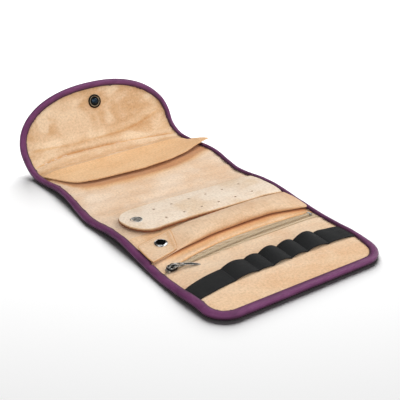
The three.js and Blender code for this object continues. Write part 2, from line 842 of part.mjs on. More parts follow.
// Flap
function flap() {
  const body = new THREE.Group();
  const rows = flapRows(layerInset);
  const snapArc = tipArc - flapSnapFromTip;
  const snapBase = underside(snapArc);
  const snap = new THREE.Group();
  snap.position.set(flapSnapOffset, snapBase.y, snapBase.z);
  snap.rotation.x = snapBase.slope;
  const socket = piece('flap_socket', snapSocket(), gunmetal);
  socket.position.z = liningHigh + layerGap;
  const cap = piece('flap_cap', snapCap(), nickel);
  cap.rotation.x = Math.PI;
  cap.position.z = shellLow - layerGap;
  snap.add(socket, cap);
  body.add(
    piece('flap_shell', layer(rows, shellLow, shellHigh, onFlap), purpleShell),
    piece('flap_padding', layer(rows, paddingLow, paddingHigh, onFlap), foam),
    piece('flap_lining', layer(rows, liningLow, liningHigh, onFlap), tanSuede),
    piece('flap_binding', binding(flapPath(), onFlap), purpleBinding),
    snap,
  );
  return body;
}

// The whole case, with its origin at the bottom centre
const jewelryCase = new THREE.Group();
const front = frontPanel();
front.add(alongZip(zipSlider(), zipPull()));
const middle = middlePanel();
middle.add(earringTab(), ringBar());
const back = backPanel();
back.add(pocketLip(), flap());
jewelryCase.add(front, middle, back);

const bounds = new THREE.Box3().setFromObject(jewelryCase);
const centre = bounds.getCenter(new THREE.Vector3());
jewelryCase.position.set(-centre.x, -centre.y, -bounds.min.z);
jewelryCase.updateMatrixWorld(true);

export default jewelryCase;
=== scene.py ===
"""Looks of the folding jewelry case: its cloth, suede, elastic, zip and press studs.

Shapes are worked out in millimetres on the open case: x across, s along the case
from the near edge, and t the height above the case's underside.
"""
import json
import math

import bmesh
import bpy
import numpy as np
from mathutils import Matrix, Vector


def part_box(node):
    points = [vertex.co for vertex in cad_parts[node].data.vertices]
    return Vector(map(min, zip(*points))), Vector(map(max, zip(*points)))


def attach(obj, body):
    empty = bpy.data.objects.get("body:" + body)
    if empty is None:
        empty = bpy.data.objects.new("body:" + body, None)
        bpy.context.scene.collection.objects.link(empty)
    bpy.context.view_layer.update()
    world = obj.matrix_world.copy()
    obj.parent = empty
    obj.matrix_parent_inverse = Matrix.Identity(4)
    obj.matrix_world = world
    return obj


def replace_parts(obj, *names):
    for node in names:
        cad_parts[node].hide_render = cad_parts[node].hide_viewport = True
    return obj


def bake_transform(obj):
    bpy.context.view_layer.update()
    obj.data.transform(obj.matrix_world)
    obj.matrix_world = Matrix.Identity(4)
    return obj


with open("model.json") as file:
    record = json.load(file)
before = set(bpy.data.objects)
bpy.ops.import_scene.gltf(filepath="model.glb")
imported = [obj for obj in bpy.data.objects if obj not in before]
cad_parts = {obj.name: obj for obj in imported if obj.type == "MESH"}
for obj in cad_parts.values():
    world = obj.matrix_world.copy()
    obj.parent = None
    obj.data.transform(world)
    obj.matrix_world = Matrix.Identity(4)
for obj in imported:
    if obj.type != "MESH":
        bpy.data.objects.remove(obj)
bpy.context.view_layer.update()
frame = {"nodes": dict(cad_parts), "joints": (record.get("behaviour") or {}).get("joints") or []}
MM = 0.001
X, Y, Z = 0, 1, 2

# the case's own sizes


def low(node, axis):
    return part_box(node)[0][axis] / MM


def high(node, axis):
    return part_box(node)[1][axis] / MM


def middle(node):
    """The centre of a CAD node in millimetres."""
    lowest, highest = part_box(node)
    return (np.array(lowest) + np.array(highest)) / 2 / MM


NEAR = low("front_binding", Y)
HALF = high("middle_binding_right", X)
FOLD_1 = (high("front_lining_strip", Y) + low("middle_lining", Y)) / 2 - NEAR
FOLD_2 = (high("middle_lining", Y) + low("back_lining", Y)) / 2 - NEAR
BEND = high("back_lining", Y) - NEAR
CORNER = 24.0
# How each panel's underside rises off the table between the flat strips at its folds: (start, end, rise)
HUMPS = ((0.0, FOLD_1, 2.2), (FOLD_1, FOLD_2, 2.5), (FOLD_2, BEND, 2.0))
FOLD_STRIP = 7.0
# The flap seen from the side: a tight bend, then a long curl
BEND_RADIUS = 40.0
BEND_ANGLE = math.radians(62)
CURL_RADIUS = 163.0
CURL_ANGLE = math.radians(19.7)
# The flap's arched tip, a superellipse
ARCH_DEPTH = 62.0
ARCH_FULLNESS = 2.2
BEND_ARC = BEND_RADIUS * BEND_ANGLE
TIP = BEND + BEND_ARC + CURL_RADIUS * CURL_ANGLE
ARCH = TIP - ARCH_DEPTH
# The height of the lining's face, and how thick plain cloth is
LINING = 4.6
CLOTH = 0.7
# Where the linings and outer cloths are cut, and where the slip pocket starts
SEAM_1 = 150.0
SEAM_2 = 304.0
CREASE = BEND - 2.5


def curve_of(points, reach=12):
    """A smooth curve through a few (place, value) points."""
    places, values = zip(*points)
    fine = np.arange(places[0] - 3 * reach, places[-1] + 3 * reach, 1.0)
    window = np.hanning(2 * reach + 1)
    rough = np.pad(np.interp(fine, places, values), reach, mode="edge")
    soft = np.convolve(rough, window / window.sum(), mode="valid")
    return lambda place: np.interp(place, fine, soft)


def smoothstep(value, start, end):
    t = np.clip((np.asarray(value, float) - start) / (end - start), 0, 1)
    return t * t * (3 - 2 * t)


def bump_at(value, centre, reach):
    return np.exp(-(((np.asarray(value, float) - centre) / reach) ** 2))


def ripple(x, s, size, seed=0.0):
    """Soft unevenness between -1 and 1 with features of about that size."""
    k = 2 * math.pi / size
    a = np.sin(k * (0.83 * x + 0.41 * s) + 1.7 + seed)
    b = np.sin(k * (-0.37 * x + 0.92 * s) * 1.31 + 4.1 * seed + 0.6)
    c = np.sin(k * (0.61 * x - 0.72 * s) * 0.77 + 2.3 * seed + 3.3)
    return (a + b + c + a * b) / 4


# How the sewn edges wander: (place along the case, millimetres)
LEFT_SHIFT = curve_of([(0, 0), (30, 0), (54, -2), (78, -2), (100, -1), (120, 0.3), (155, 2), (180, 1.2),
                       (210, -2.4), (232, 0), (258, 2.8), (282, 3.8), (306, 1.2), (318, 0), (400, 0)])
RIGHT_SHIFT = curve_of([(0, 0), (30, 0), (60, -1.6), (85, 0), (114, 2), (150, 1.5), (180, 1.5), (218, -2.5),
                        (240, -0.5), (262, 2), (282, 2), (300, 0.5), (318, 0), (335, -1.2), (350, -2.2),
                        (365, -1), (380, 0), (400, 0)])
LEFT_LIFT = curve_of([(0, 0), (30, 0), (60, -1.9), (85, -1.2), (105, 0), (160, 0.6), (212, 0), (270, 1),
                      (318, 0), (400, 0)])
RIGHT_LIFT = curve_of([(0, 0), (105, 0), (160, 0.8), (190, 0.8), (212, 0), (262, 1), (285, 1), (318, 0),
                       (400, 0)])

# How wide the binding shows: (place along its side or its near edge, millimetres)
LEFT_WIDTH = curve_of([(0, 8.8), (60, 8.4), (90, 7.8), (118, 8.6), (160, 6.8), (210, 8.2), (270, 6.0),
                       (300, 5.8), (330, 7.2), (400, 7.2)])
RIGHT_WIDTH = curve_of([(0, 8.6), (24, 8.4), (36, 5.8), (330, 5.8), (360, 6.5), (400, 7.2)])
NEAR_WIDTH = curve_of([(-94, 8.8), (-40, 8.6), (0, 7.6), (60, 7.8), (94, 8.6)])
# The left binding's notch at the fold
NOTCH, NOTCH_DEPTH, NOTCH_REACH = 104.5, 2.2, 1.5
# The share of the half width beyond which the edges wander
WANDER_FROM = 0.45


def underside(s):
    """Place along Y, height and slope of the case's underside."""
    s = np.asarray(s, float)
    rise = np.zeros_like(s)
    for start, end, height in HUMPS:
        part = np.clip((s - start - FOLD_STRIP) / (end - start - 2 * FOLD_STRIP), 0, 1)
        rise = rise + height * np.sin(np.pi * part) ** 2
    bend = np.clip((s - BEND) / BEND_RADIUS, 0, BEND_ANGLE)
    curl = np.clip((s - BEND - BEND_ARC) / CURL_RADIUS, 0, None)
    slope = bend + curl
    y = np.minimum(s, BEND) + BEND_RADIUS * np.sin(bend)
    z = BEND_RADIUS * (1 - np.cos(bend))
    y = y + CURL_RADIUS * np.where(curl > 0, np.sin(slope) - math.sin(BEND_ANGLE), 0)
    z = z + CURL_RADIUS * np.where(curl > 0, math.cos(BEND_ANGLE) - np.cos(slope), 0)
    return y, z + rise, slope


def panel_slope(s):
    return math.atan(underside(s + 0.5)[1] - underside(s - 0.5)[1])


def case(x, s, t):
    """Row frame points, in millimetres, of places on the open case."""
    x, s, t = np.broadcast_arrays(*(np.asarray(v, float) for v in (x, s, t)))
    y, z, slope = underside(s)
    edge = smoothstep(np.abs(x) / HALF, WANDER_FROM, 1.0)
    shift = np.where(x < 0, LEFT_SHIFT(s), RIGHT_SHIFT(s)) * edge
    lift = np.where(x < 0, LEFT_LIFT(s), RIGHT_LIFT(s)) * edge
    return np.stack([x + shift, NEAR + y - t * np.sin(slope), z + lift + t * np.cos(slope)], -1)


def half_width(s):
    """Half the case's width at a place along it, with its round corners and arch."""
    s = np.asarray(s, float)
    corner = HALF - CORNER + np.sqrt(np.clip(CORNER**2 - np.clip(CORNER - s, 0, CORNER) ** 2, 0, None))
    rise = np.clip((s - ARCH) / ARCH_DEPTH, 0, 1) ** ARCH_FULLNESS
    arch = HALF * (1 - rise) ** (1 / ARCH_FULLNESS)
    return np.where(s < CORNER, corner, np.where(s > ARCH, arch, HALF))


def from_edge(x, s):
    """About how far a place is from the case's sewn edge."""
    side = half_width(s) - np.abs(x)
    near_corner = CORNER - np.hypot(np.clip(np.abs(x) - HALF + CORNER, 0, None), np.clip(CORNER - s, 0, None))
    across = np.abs(x / HALF) ** ARCH_FULLNESS
    round_arch = (across + np.clip((s - ARCH) / ARCH_DEPTH, 0, None) ** ARCH_FULLNESS) ** (1 / ARCH_FULLNESS)
    depth = np.where(s < CORNER, near_corner, side)
    return np.where(s > ARCH, np.minimum(ARCH_DEPTH * (1 - round_arch), side), depth)


def binding_width(x, s):
    """How far the binding reaches in from the edge, with a notch on the left."""
    left = LEFT_WIDTH(s) - NOTCH_DEPTH * bump_at(s, NOTCH, NOTCH_REACH)
    near = smoothstep(s, 0, CORNER)
    return NEAR_WIDTH(x) * (1 - near) + np.where(x < 0, left, RIGHT_WIDTH(s)) * near


# mesh helpers


def placed(name, data):
    """A new object in the scene."""
    obj = bpy.data.objects.new(name, data)
    bpy.context.scene.collection.objects.link(obj)
    return obj


def make(name, points, faces, uv=None, sharp=42, shade=None):
    """A mesh object from points in millimetres, with an amount of painted shade for each."""
    mesh = bpy.data.meshes.new(name)
    mesh.from_pydata((np.asarray(points, float) * MM).tolist(), [], faces)
    mesh.validate()
    if shade is not None:
        tone = mesh.attributes.new("shade", "FLOAT", "POINT")
        tone.data.foreach_set("value", np.asarray(shade, np.float32).ravel())
    if uv is not None:
        layer = mesh.uv_layers.new(name="UVMap")
        index = np.empty(len(mesh.loops), int)
        mesh.loops.foreach_get("vertex_index", index)
        layer.data.foreach_set("uv", np.asarray(uv, float)[index].ravel())
    bm = bmesh.new()
    bm.from_mesh(mesh)
    bmesh.ops.recalc_face_normals(bm, faces=bm.faces)
    bm.to_mesh(mesh)
    bm.free()
    mesh.shade_smooth()
    mesh.set_sharp_from_angle(angle=math.radians(sharp))
    return placed(name, mesh)


def strip_faces(rows, cols, wrap=False, start=0):
    faces = []
    for r in range(rows - 1):
        for c in range(cols if wrap else cols - 1):
            d = (c + 1) % cols
            a, b = start + r * cols, start + (r + 1) * cols
            faces.append((a + c, a + d, b + d, b + c))
    return faces


def capped_faces(rows, cols, start=0):
    """The faces of a row of rings, closed at both ends."""
    last = start + (rows - 1) * cols
    ends = [tuple(range(start, start + cols)), tuple(range(last, last + cols))]
    return strip_faces(rows, cols, True, start) + ends


def unit(vector):
    return vector / np.linalg.norm(vector)


def distances(points):
    """How far along a line each of its points lies."""
    return np.concatenate([[0], np.cumsum(np.linalg.norm(np.diff(points, axis=0), axis=1))])


def spread(start, end, step):
    return np.linspace(start, end, max(2, int(math.ceil(abs(end - start) / step)) + 1))


def chain(parts):
    """Rows of places that meet, as one row."""
    return np.concatenate([parts[0]] + [part[1:] for part in parts[1:]])


def around_ring(count):
    """Angles evenly round a full turn."""
    return np.linspace(0, 2 * np.pi, count, endpoint=False)


def cloth(name, top, thickness=CLOTH, uv=None, shade=None):
    """A closed thin sheet under a grid of top points."""
    rows, cols = top.shape[:2]
    count = rows * cols
    normal = np.cross(np.gradient(top, axis=1), np.gradient(top, axis=0))
    normal /= np.maximum(np.linalg.norm(normal, axis=-1, keepdims=True), 1e-9)
    faces = strip_faces(rows, cols)
    faces += [tuple(count + i for i in reversed(face)) for face in faces]
    index = np.arange(count).reshape(rows, cols)
    rim = [*index[0], *index[1:, -1], *index[-1, -2::-1], *index[-2:0:-1, 0]]
    for a, b in zip(rim, rim[1:] + rim[:1]):
        faces.append((int(a), int(a) + count, int(b) + count, int(b)))
    places = np.concatenate([top.reshape(-1, 3), (top - thickness * normal).reshape(-1, 3)])
    if uv is not None:
        uv = np.concatenate([uv.reshape(-1, 2)] * 2)
    if shade is not None:
        shade = np.concatenate([np.broadcast_to(shade, (rows, cols)).ravel()] * 2)
    return make(name, places, faces, uv, shade=shade)


def tube(name, rings, uv=None, sharp=50, shade=None):
    """A closed body through rings of points."""
    uv = None if uv is None else uv.reshape(-1, 2)
    return make(name, rings.reshape(-1, 3), capped_faces(*rings.shape[:2]), uv, sharp, shade)


def joined(name, pieces):
    """One object from several."""
    bm = bmesh.new()
    for piece in pieces:
        bm.from_mesh(piece.data)
        bpy.data.objects.remove(piece)
    mesh = bpy.data.meshes.new(name)
    bm.to_mesh(mesh)
    bm.free()
    return placed(name, mesh)


# materials

UV_UNIT = 100.0
WHITE, BLACK = (1, 1, 1), (0, 0, 0)


class Nodes:
    """A material's node tree with short calls to build it."""

    def __init__(self, name, color, roughness, metallic=0.0, **values):
        self.material = bpy.data.materials.new(name)
        self.material.use_nodes = True
        self.tree = self.material.node_tree
        self.shader = self.tree.nodes["Principled BSDF"]
        self.finish(Base_Color=color, Roughness=roughness, Metallic=metallic, **values)

    def finish(self, **values):
        """Feeds the shader's own inputs."""
        for name, value in values.items():
            self.feed(self.shader.inputs[name.replace("_", " ")], value)
        return self.material

    def feed(self, socket, value):
        """Links another node's output to a socket, or sets a number, place or colour there."""
        if isinstance(value, bpy.types.NodeSocket):
            self.tree.links.new(value, socket)
        else:
            socket.default_value = (*value, 1) if socket.type == "RGBA" else value

    def add(self, kind, values, output, **settings):
        """The output of a new node with these values on its inputs."""
        node = self.tree.nodes.new(kind)
        for key, value in settings.items():
            setattr(node, key, value)
        for key, value in values.items():
            self.feed(node.inputs[key], value)
        return node.outputs[output]

    def places(self, scale, use_uv=True):
        """Places in millimetres, times scale."""
        source = self.add("ShaderNodeTexCoord", {}, "UV" if use_uv else "Object")
        scale = [v * (UV_UNIT if use_uv else 1 / MM) for v in scale]
        return self.add("ShaderNodeMapping", {"Vector": source, "Scale": scale}, "Vector")

    def noise(self, scale, detail, roughness, distortion=0.0, use_uv=True):
        values = {"Vector": self.places(scale, use_uv), "Scale": 1, "Detail": detail, "Roughness": roughness,
                  "Distortion": distortion}
        return self.add("ShaderNodeTexNoise", values, "Fac")

    def wave(self, stretch, scale, direction, distortion, detail=0.0):
        values = {"Vector": self.places((stretch, stretch, 1)), "Scale": scale, "Distortion": distortion,
                  "Detail": detail}
        return self.add("ShaderNodeTexWave", values, "Fac", bands_direction=direction)

    # Reads the painted shade that a mesh carries.
    def tone(self):
        return self.add("ShaderNodeAttribute", {}, "Fac", attribute_name="shade")

    def ramp(self, fac, *stops):
        color = self.add("ShaderNodeValToRGB", {"Fac": fac}, "Color")
        elements = color.node.color_ramp.elements
        while len(elements) < len(stops):
            elements.new(0.5)
        for element, (place, value) in zip(elements, stops):
            element.position = place
            element.color = (*value, 1)
        return color

    def mix(self, fac, a, b, blend="MIX"):
        values = {"Factor": fac, "A": a, "B": b}
        return self.add("ShaderNodeMix", values, "Result", data_type="RGBA", blend_type=blend)

    def times(self, a, b):
        return self.mix(1.0, a, b, "MULTIPLY")

    def math(self, operation, *values, **settings):
        return self.add("ShaderNodeMath", dict(enumerate(values)), "Value", operation=operation, **settings)

    def bump(self, height, strength, distance, under=None):
        values = {"Height": height, "Strength": strength, "Distance": distance}
        if under is not None:
            values["Normal"] = under
        return self.add("ShaderNodeBump", values, "Normal")

    def oval(self, x, s, reach_x, reach_s, edge, ragged):
        """1 inside an oval on the cloth, given in millimetres, and 0 outside a ragged edge."""
        values = {0: self.places((1 / reach_x, 1 / reach_s, 0)), 1: (x / reach_x, s / reach_s, 0)}
        distance = self.add("ShaderNodeVectorMath", values, "Value", operation="DISTANCE")
        shift = self.math("MULTIPLY_ADD", edge, ragged, -ragged / 2)
        return self.ramp(self.math("ADD", distance, shift), (0.75, WHITE), (1.0, BLACK))


def linear(color):
    """A screen colour from 0 to 255 as the linear colour that shaders take."""
    return tuple(((v / 255 + 0.055) / 1.055) ** 2.4 if v > 10 else v / 255 / 12.92 for v in color)


# Painted shade: suede turns browner as it darkens along creases and under edges; the tape only darkens.
SUEDE_PAINTED_SHADE = [(0, WHITE), (0.25, (0.92, 0.78, 0.6)), (0.5, (0.8, 0.56, 0.36)), (0.75, (0.55, 0.3, 0.15)),
               (1, (0.32, 0.15, 0.06))]
TAPE_PAINTED_SHADE = [(0, WHITE), (1, (0.3, 0.26, 0.24))]


def suede(name, color, dark, light, pile=0.25, brushed=()):
    """Brushed microsuede: a mottled nap, a fine pile and ovals brushed the other way."""
    color, dark, light = map(linear, (color, dark, light))
    n = Nodes(name, color, 0.95, Sheen_Weight=0.15, Sheen_Roughness=0.6, Specular_IOR_Level=0.15)
    patches = n.noise((0.024, 0.034, 1), 3, 0.55, 0.4)
    nap = n.noise((0.11, 0.17, 1), 4, 0.65)
    speckle = n.noise((0.42, 0.42, 1), 4, 0.8)
    base = n.ramp(patches, (0.36, dark), (0.5, color), (0.66, light))
    for *place, strength in brushed:
        base = n.mix(n.math("MULTIPLY", n.oval(*place, nap, 0.7), strength), base, light)
    base = n.mix(n.ramp(nap, (0.46, BLACK), (0.7, (0.45, 0.45, 0.45))), base, light)
    grain = n.ramp(speckle, (0.36, (0.84, 0.82, 0.79)), (0.5, (0.98, 0.98, 0.98)), (0.66, (1.1, 1.1, 1.1)))
    # Painted highlight where the shade value is below zero, then painted shade where it is above.
    painted_highlight = n.math("MULTIPLY", n.tone(), -1.0, use_clamp=True)
    base = n.mix(painted_highlight, n.times(base, grain), n.times(light, grain))
    base = n.times(base, n.ramp(n.tone(), *SUEDE_PAINTED_SHADE))
    return n.finish(Base_Color=base, Normal=n.bump(speckle, pile, 0.0005, n.bump(nap, 0.3, 0.0006)))


def satin_twill(name, color, dark, light):
    """Fine twill tape with a soft sheen and duller rubbed places."""
    color, dark, light = map(linear, (color, dark, light))
    n = Nodes(name, color, 0.5, Sheen_Weight=0.08, Sheen_Roughness=0.4, Specular_IOR_Level=0.3)
    ribs = n.wave(0.8, 1.0, "DIAGONAL", 0.6, 1)
    fuzz = n.noise((0.6, 0.6, 1), 3, 0.65)
    base = n.ramp(n.noise((0.05, 0.16, 1), 4, 0.65), (0.34, dark), (0.52, color), (0.7, light))
    weave = n.ramp(n.math("MULTIPLY", ribs, fuzz), (0.05, (0.8, 0.8, 0.8)), (0.5, (1.12, 1.12, 1.12)))
    # Painted shade from the mesh's shade value.
    base = n.times(n.mix(0.85, base, weave, "MULTIPLY"), n.ramp(n.tone(), *TAPE_PAINTED_SHADE))
    return n.finish(Base_Color=base, Normal=n.bump(fuzz, 0.3, 0.0004, n.bump(ribs, 0.35, 0.0003)))


def knitted_elastic(name, color, light):
    """Ribbed black elastic."""
    n = Nodes(name, linear(color), 0.75, Sheen_Weight=0.04, Sheen_Roughness=0.5, Specular_IOR_Level=0.25)
    ribs = n.wave(1, 0.42, "Y", 0.2)
    picks = n.wave(1, 0.5, "X", 0.3)
    fuzz = n.noise((0.5, 0.9, 1), 3, 0.6)
    base = n.ramp(n.math("MULTIPLY", ribs, fuzz), (0.05, linear(color)), (0.6, linear(light)))
    return n.finish(Base_Color=base, Normal=n.bump(picks, 0.2, 0.0003, n.bump(ribs, 0.5, 0.0004)))


def woven_tape(name, color, dark):
    """Herringbone zip tape."""
    color, dark = map(linear, (color, dark))
    n = Nodes(name, color, 0.85, Sheen_Weight=0.2, Specular_IOR_Level=0.2)
    rows = n.wave(1, 0.33, "Y", 0.15)
    picks = n.wave(1, 0.45, "X", 0.2)
    base = n.mix(0.25, n.ramp(rows, (0.15, dark), (0.6, color)), n.ramp(picks, (0.2, dark), (0.7, color)))
    base = n.times(base, n.ramp(n.tone(), *SUEDE_PAINTED_SHADE))
    return n.finish(Base_Color=base, Normal=n.bump(picks, 0.3, 0.0003, n.bump(rows, 0.5, 0.0005)))


def plain_thread(name, color, roughness=0.7):
    color = linear(color)
    n = Nodes(name, color, roughness, Sheen_Weight=0.2)
    twist = n.noise((2.2, 2.2, 2.2), 2, 0.5, use_uv=False)
    dark, light = (tuple(min(1.0, channel * factor) for channel in color) for factor in (0.75, 1.15))
    return n.finish(Base_Color=n.ramp(twist, (0.3, dark), (0.7, light)), Normal=n.bump(twist, 0.3, 0.0002))


def worn_metal(name, color, dark, roughness, grime=0.5, metallic=1.0):
    """Plated metal with darker grime in random smears and a slightly uneven polish."""
    color, dark = map(linear, (color, dark))
    n = Nodes(name, color, roughness, metallic)
    smears = n.noise((0.35, 0.35, 0.35), 4, 0.6, use_uv=False)
    scratches = n.noise((2.5, 0.4, 2.5), 2, 0.6, use_uv=False)
    base = n.ramp(smears, (0.35, dark), (0.35 + grime * 0.4, color))
    uneven = n.math("MULTIPLY_ADD", scratches, 0.25, roughness)
    return n.finish(Base_Color=base, Roughness=uneven, Normal=n.bump(scratches, 0.08, 0.0001))


# Ovals brushed the other way: (x, place along the case, half width, half length, strength)
FLAP_BRUSHED = [(-62, 386, 7, 14, 0.9), (-28, 377, 23, 19, 0.75)]
LINING_SUEDE = suede("tan_suede", (229, 191, 152), (224, 181, 138), (235, 204, 171))
PINK_SUEDE = suede("pink_suede", (228, 195, 161), (224, 186, 149), (233, 206, 176))
MIDDLE_SUEDE = suede("middle_suede", (229, 199, 169), (225, 190, 156), (234, 210, 185))
LIP_SUEDE = suede("lip_suede", (230, 185, 135), (226, 178, 126), (234, 192, 144), 0.15)
PALE_SUEDE = suede("pale_suede", (232, 212, 190), (224, 198, 168), (238, 222, 202), 0.35)
# The flap's suede is set darker and browner than the lining's: painted shade for the raised flap.
FLAP_SUEDE = suede("flap_suede", (211, 171, 130), (205, 162, 118), (231, 203, 170), 0.25, FLAP_BRUSHED)
BAR_SUEDE = suede("bar_suede", (222, 188, 153), (217, 179, 142), (228, 198, 166))
TAB_EDGE = suede("brown_suede", (176, 122, 76), (140, 90, 52), (200, 148, 100), 0.5)
WADDING = suede("wadding", (232, 228, 218), (220, 216, 206), (240, 238, 232))
BINDING = satin_twill("purple_tape", (109, 51, 97), (91, 42, 81), (123, 65, 111))
OUTER = satin_twill("purple_cloth", (90, 48, 86), (80, 42, 76), (102, 58, 98))
ELASTIC = knitted_elastic("black_elastic", (7, 8, 9), (23, 25, 26))
TAPE = woven_tape("zip_tape", (222, 200, 168), (160, 130, 96))
COIL = plain_thread("zip_coil", (214, 193, 160), 0.45)
TAN_THREAD = plain_thread("tan_thread", (214, 172, 126))
PURPLE_THREAD = plain_thread("purple_thread", (78, 40, 74))
BLACK_THREAD = plain_thread("black_thread", (24, 25, 27))
NICKEL = worn_metal("nickel", (200, 200, 198), (140, 140, 140), 0.12)
DULL_NICKEL = worn_metal("dull_nickel", (200, 200, 196), (104, 104, 100), 0.4, 0.5, 0.85)
# Dark nickel for the bar cap's top: a painted dark reflection.
NICKEL_DARK_REFLECTION = worn_metal("nickel_painted_reflection", (60, 60, 60), (26, 26, 26), 0.08)
BLACK_METAL = worn_metal("black_ring", (26, 22, 20), (12, 10, 9), 0.3)
BLUE_METAL = worn_metal("blue_dome", (44, 58, 70), (12, 17, 22), 0.12)
BRASS = worn_metal("old_brass", (150, 138, 118), (84, 72, 56), 0.35)
ANTIQUE = worn_metal("antique_silver", (206, 204, 200), (62, 60, 58), 0.2, 0.7)
BLACKENED = worn_metal("blackened_silver", (52, 50, 50), (18, 17, 17), 0.4)


def dress(obj, material):
    obj.data.materials.clear()
    obj.data.materials.append(material)
    return obj


def ride(obj, body, *nodes):
    """Fixes a piece to its body, in place of the CAD nodes that it is given."""
    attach(obj, body)
    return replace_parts(obj, *nodes) if nodes else obj


# folds


def along(s):
    """The row frame point on the centre line at a place along the case."""
    return Vector(case(0, s, 0)) * MM


def level_with(start, end):
    """The second place, at the height of the first."""
    return Vector((*along(end).xy, along(start).z))


# The two bodies that a skin joins at each fold, and where it starts and ends to bend
FOLDS = {
    "front fold": ("front_panel", "middle_panel", along(FOLD_1 - 3), along(FOLD_1 + 9)),
    "back fold": ("middle_panel", "back_panel", along(FOLD_2 - 8), along(FOLD_2 + 10)),
    "flap fold": ("back_panel", "flap", along(BEND - 2), level_with(BEND - 2, BEND + 10)),
}
# Stretches along the case where a skin needs closer rows
FOLD_ROWS = ((FOLD_1 - 5, FOLD_1 + 11), (FOLD_2 - 10, FOLD_2 + 12), (BEND - 4, BEND + 12))
FOLD_STEP = 0.9


def follow(obj, fold, *nodes):
    """Fixes a skin where it lies, in place of the CAD nodes that it is given."""
    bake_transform(obj)
    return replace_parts(obj, *nodes) if nodes else obj


# lining

ZIP_CENTRE = middle("zip_coil")[Y] - NEAR
ZIP_RUN = middle("zip_stop_right") - middle("zip_stop_left")
ZIP_SLANT = ZIP_RUN[Y] / ZIP_RUN[X]
ZIP_BOW = 4.0
TAPE_REACH = 10.4
TUCK = 3.0
FOLDED_SUEDE = 1.1
# Between these two places the lining's rows lean with the edges beside the zip
LIP_FROM = 64
PAST_FOLD = FOLD_1 + 16
LIP_SEAM = 324.0
ACROSS = np.linspace(-1, 1, 73)[None, :]

# Where the lining's folded edges lie beside the zip: (x, place along the case)
NEAR_LIP = curve_of([(-94, 85.8), (-84, 86.2), (-76, 86.6), (-62, 87.6), (-50, 87.8), (-35, 87.8),
                     (-20, 88.6), (0, 89.6), (20, 89.6), (40, 89.8), (60, 89.6), (80, 89.4), (94, 88.5)], 6)
FAR_LIP = curve_of([(-94, 86.2), (-86, 87.2), (-79, 90), (-65, 93.5), (-50, 97), (-35, 100), (-20, 102.5),
                    (0, 104.3), (40, 104.3), (55, 102.8), (70, 102), (80, 100.5), (94, 97)], 6)

# The flap's crease and the soft ridge behind it: (x, place along the case)
FLAP_CREASE = curve_of([(-94, 334), (-76, 338.7), (-58, 342.3), (-43, 343.9), (-28, 343.5), (2, 342.8),
                        (33, 340.4), (80, 334.5), (94, 332)], 6)
FLAP_RIDGE = curve_of([(-94, 360), (-82, 358.7), (-39, 354.1), (1, 354.7), (17, 355), (33, 356), (66, 365.2),
                       (94, 374)], 6)

# The slip pocket's mouth: (x, place along the case, height above the underside)
MOUTH = [(-88, 314, 5.6), (-84, 303, 5.8), (-78, 286, 6.2), (-70, 276, 6.8), (-51, 270, 7.6),
         (-24, 267.5, 8.0), (5, 265, 8.2), (36, 266.5, 8.6), (62, 272, 9.0), (80, 280, 9.4), (97, 286, 9.8)]
MOUTH_PLACE = curve_of([(x, s) for x, s, _ in MOUTH], 5)
MOUTH_HEIGHT = curve_of([(x, t) for x, _, t in MOUTH], 8)
MOUTH_LEFT, MOUTH_RIGHT, MOUTH_MIDDLE = -88.0, 99.0, 268
PUFF = 2.6
# The lining's dips at the folds: (place along the case, depth, reach)
FOLD_DIPS = ((FOLD_2, 0.9, 5), (FOLD_1, 0.5, 4))
# The back panel's shallow waves
WAVE_START, WAVE_PITCH, WAVE_HEIGHT = 196, 9.5, 0.42


def zip_line(x):
    """The middle of the coil, bowed a little where the cloth is slack."""
    return ZIP_CENTRE + ZIP_SLANT * x + ZIP_BOW * (1 - (x / HALF) ** 2) ** 2


def lining_height(x, s):
    """Height of the lining's face: puffed by its padding, tucked in at the binding."""
    depth = from_edge(x, s)
    t = LINING + 0.35 * smoothstep(depth, 10, 34) - 1.1 * (1 - smoothstep(depth, 3, 13))
    for fold, dip, reach in FOLD_DIPS:
        t = t - dip * bump_at(s, fold, reach)
    on_back = smoothstep(s, 192, 206) * (1 - smoothstep(s, 268, 285))
    slant = s + 0.10 * x
    t = t + on_back * WAVE_HEIGHT * np.sin((slant - WAVE_START) / WAVE_PITCH * np.pi + 0.5 * np.sin(x / 37))
    return t + 0.16 * ripple(x, s, 46) + 0.07 * ripple(x, s, 17, 2.0)


def uv_of(x, s):
    return np.stack(np.broadcast_arrays(x, s), -1) / UV_UNIT


def skin(name, x, s, t, material, slot, thickness=CLOTH, shade=None):
    return dress(cloth(name, case(x, s, t), thickness, uv_of(x, s), shade), material)


def rows_between(start, end, step=2.6):
    """Places along the case, set closer where it folds."""
    stops = [start, *(stop for stretch in FOLD_ROWS for stop in stretch if start < stop < end), end]
    parts = []
    for a, b in zip(stops, stops[1:]):
        folding = any(first < (a + b) / 2 < last for first, last in FOLD_ROWS)
        parts.append(spread(a, b, min(step, FOLD_STEP) if folding else step))
    return chain(parts)


def lining_grid(s_rows):
    s = np.repeat(s_rows[:, None], ACROSS.size, 1)
    return ACROSS * (half_width(s) - TUCK), s


def front_lining():
    """From the near edge to the zip's opening, whose edge is folded under."""
    x, s = lining_grid(rows_between(TUCK, LIP_FROM))
    far_x = np.repeat(x[-1:], 16, 0)
    part = np.linspace(0, 1, 17)[1:, None]
    x = np.concatenate([x, far_x])
    s = np.concatenate([s, LIP_FROM + (NEAR_LIP(far_x) - LIP_FROM) * part])
    lip = NEAR_LIP(x) - s
    t = lining_height(x, s) + 0.5 * bump_at(lip, 3.5, 3) - 0.6 * bump_at(lip, 0, 0.8)
    # Darker towards the near edge, and painted shade along the zip's folded lip.
    shade = 0.12 * (1 - smoothstep(s, 18, 42)) + 0.3 * bump_at(lip, 0, 1.0) * smoothstep(x, -78, -60)
    obj = skin("lining_front", x, s, t, PINK_SUEDE, "suede_lining", FOLDED_SUEDE, shade)
    ride(obj, "front_panel", "front_lining")


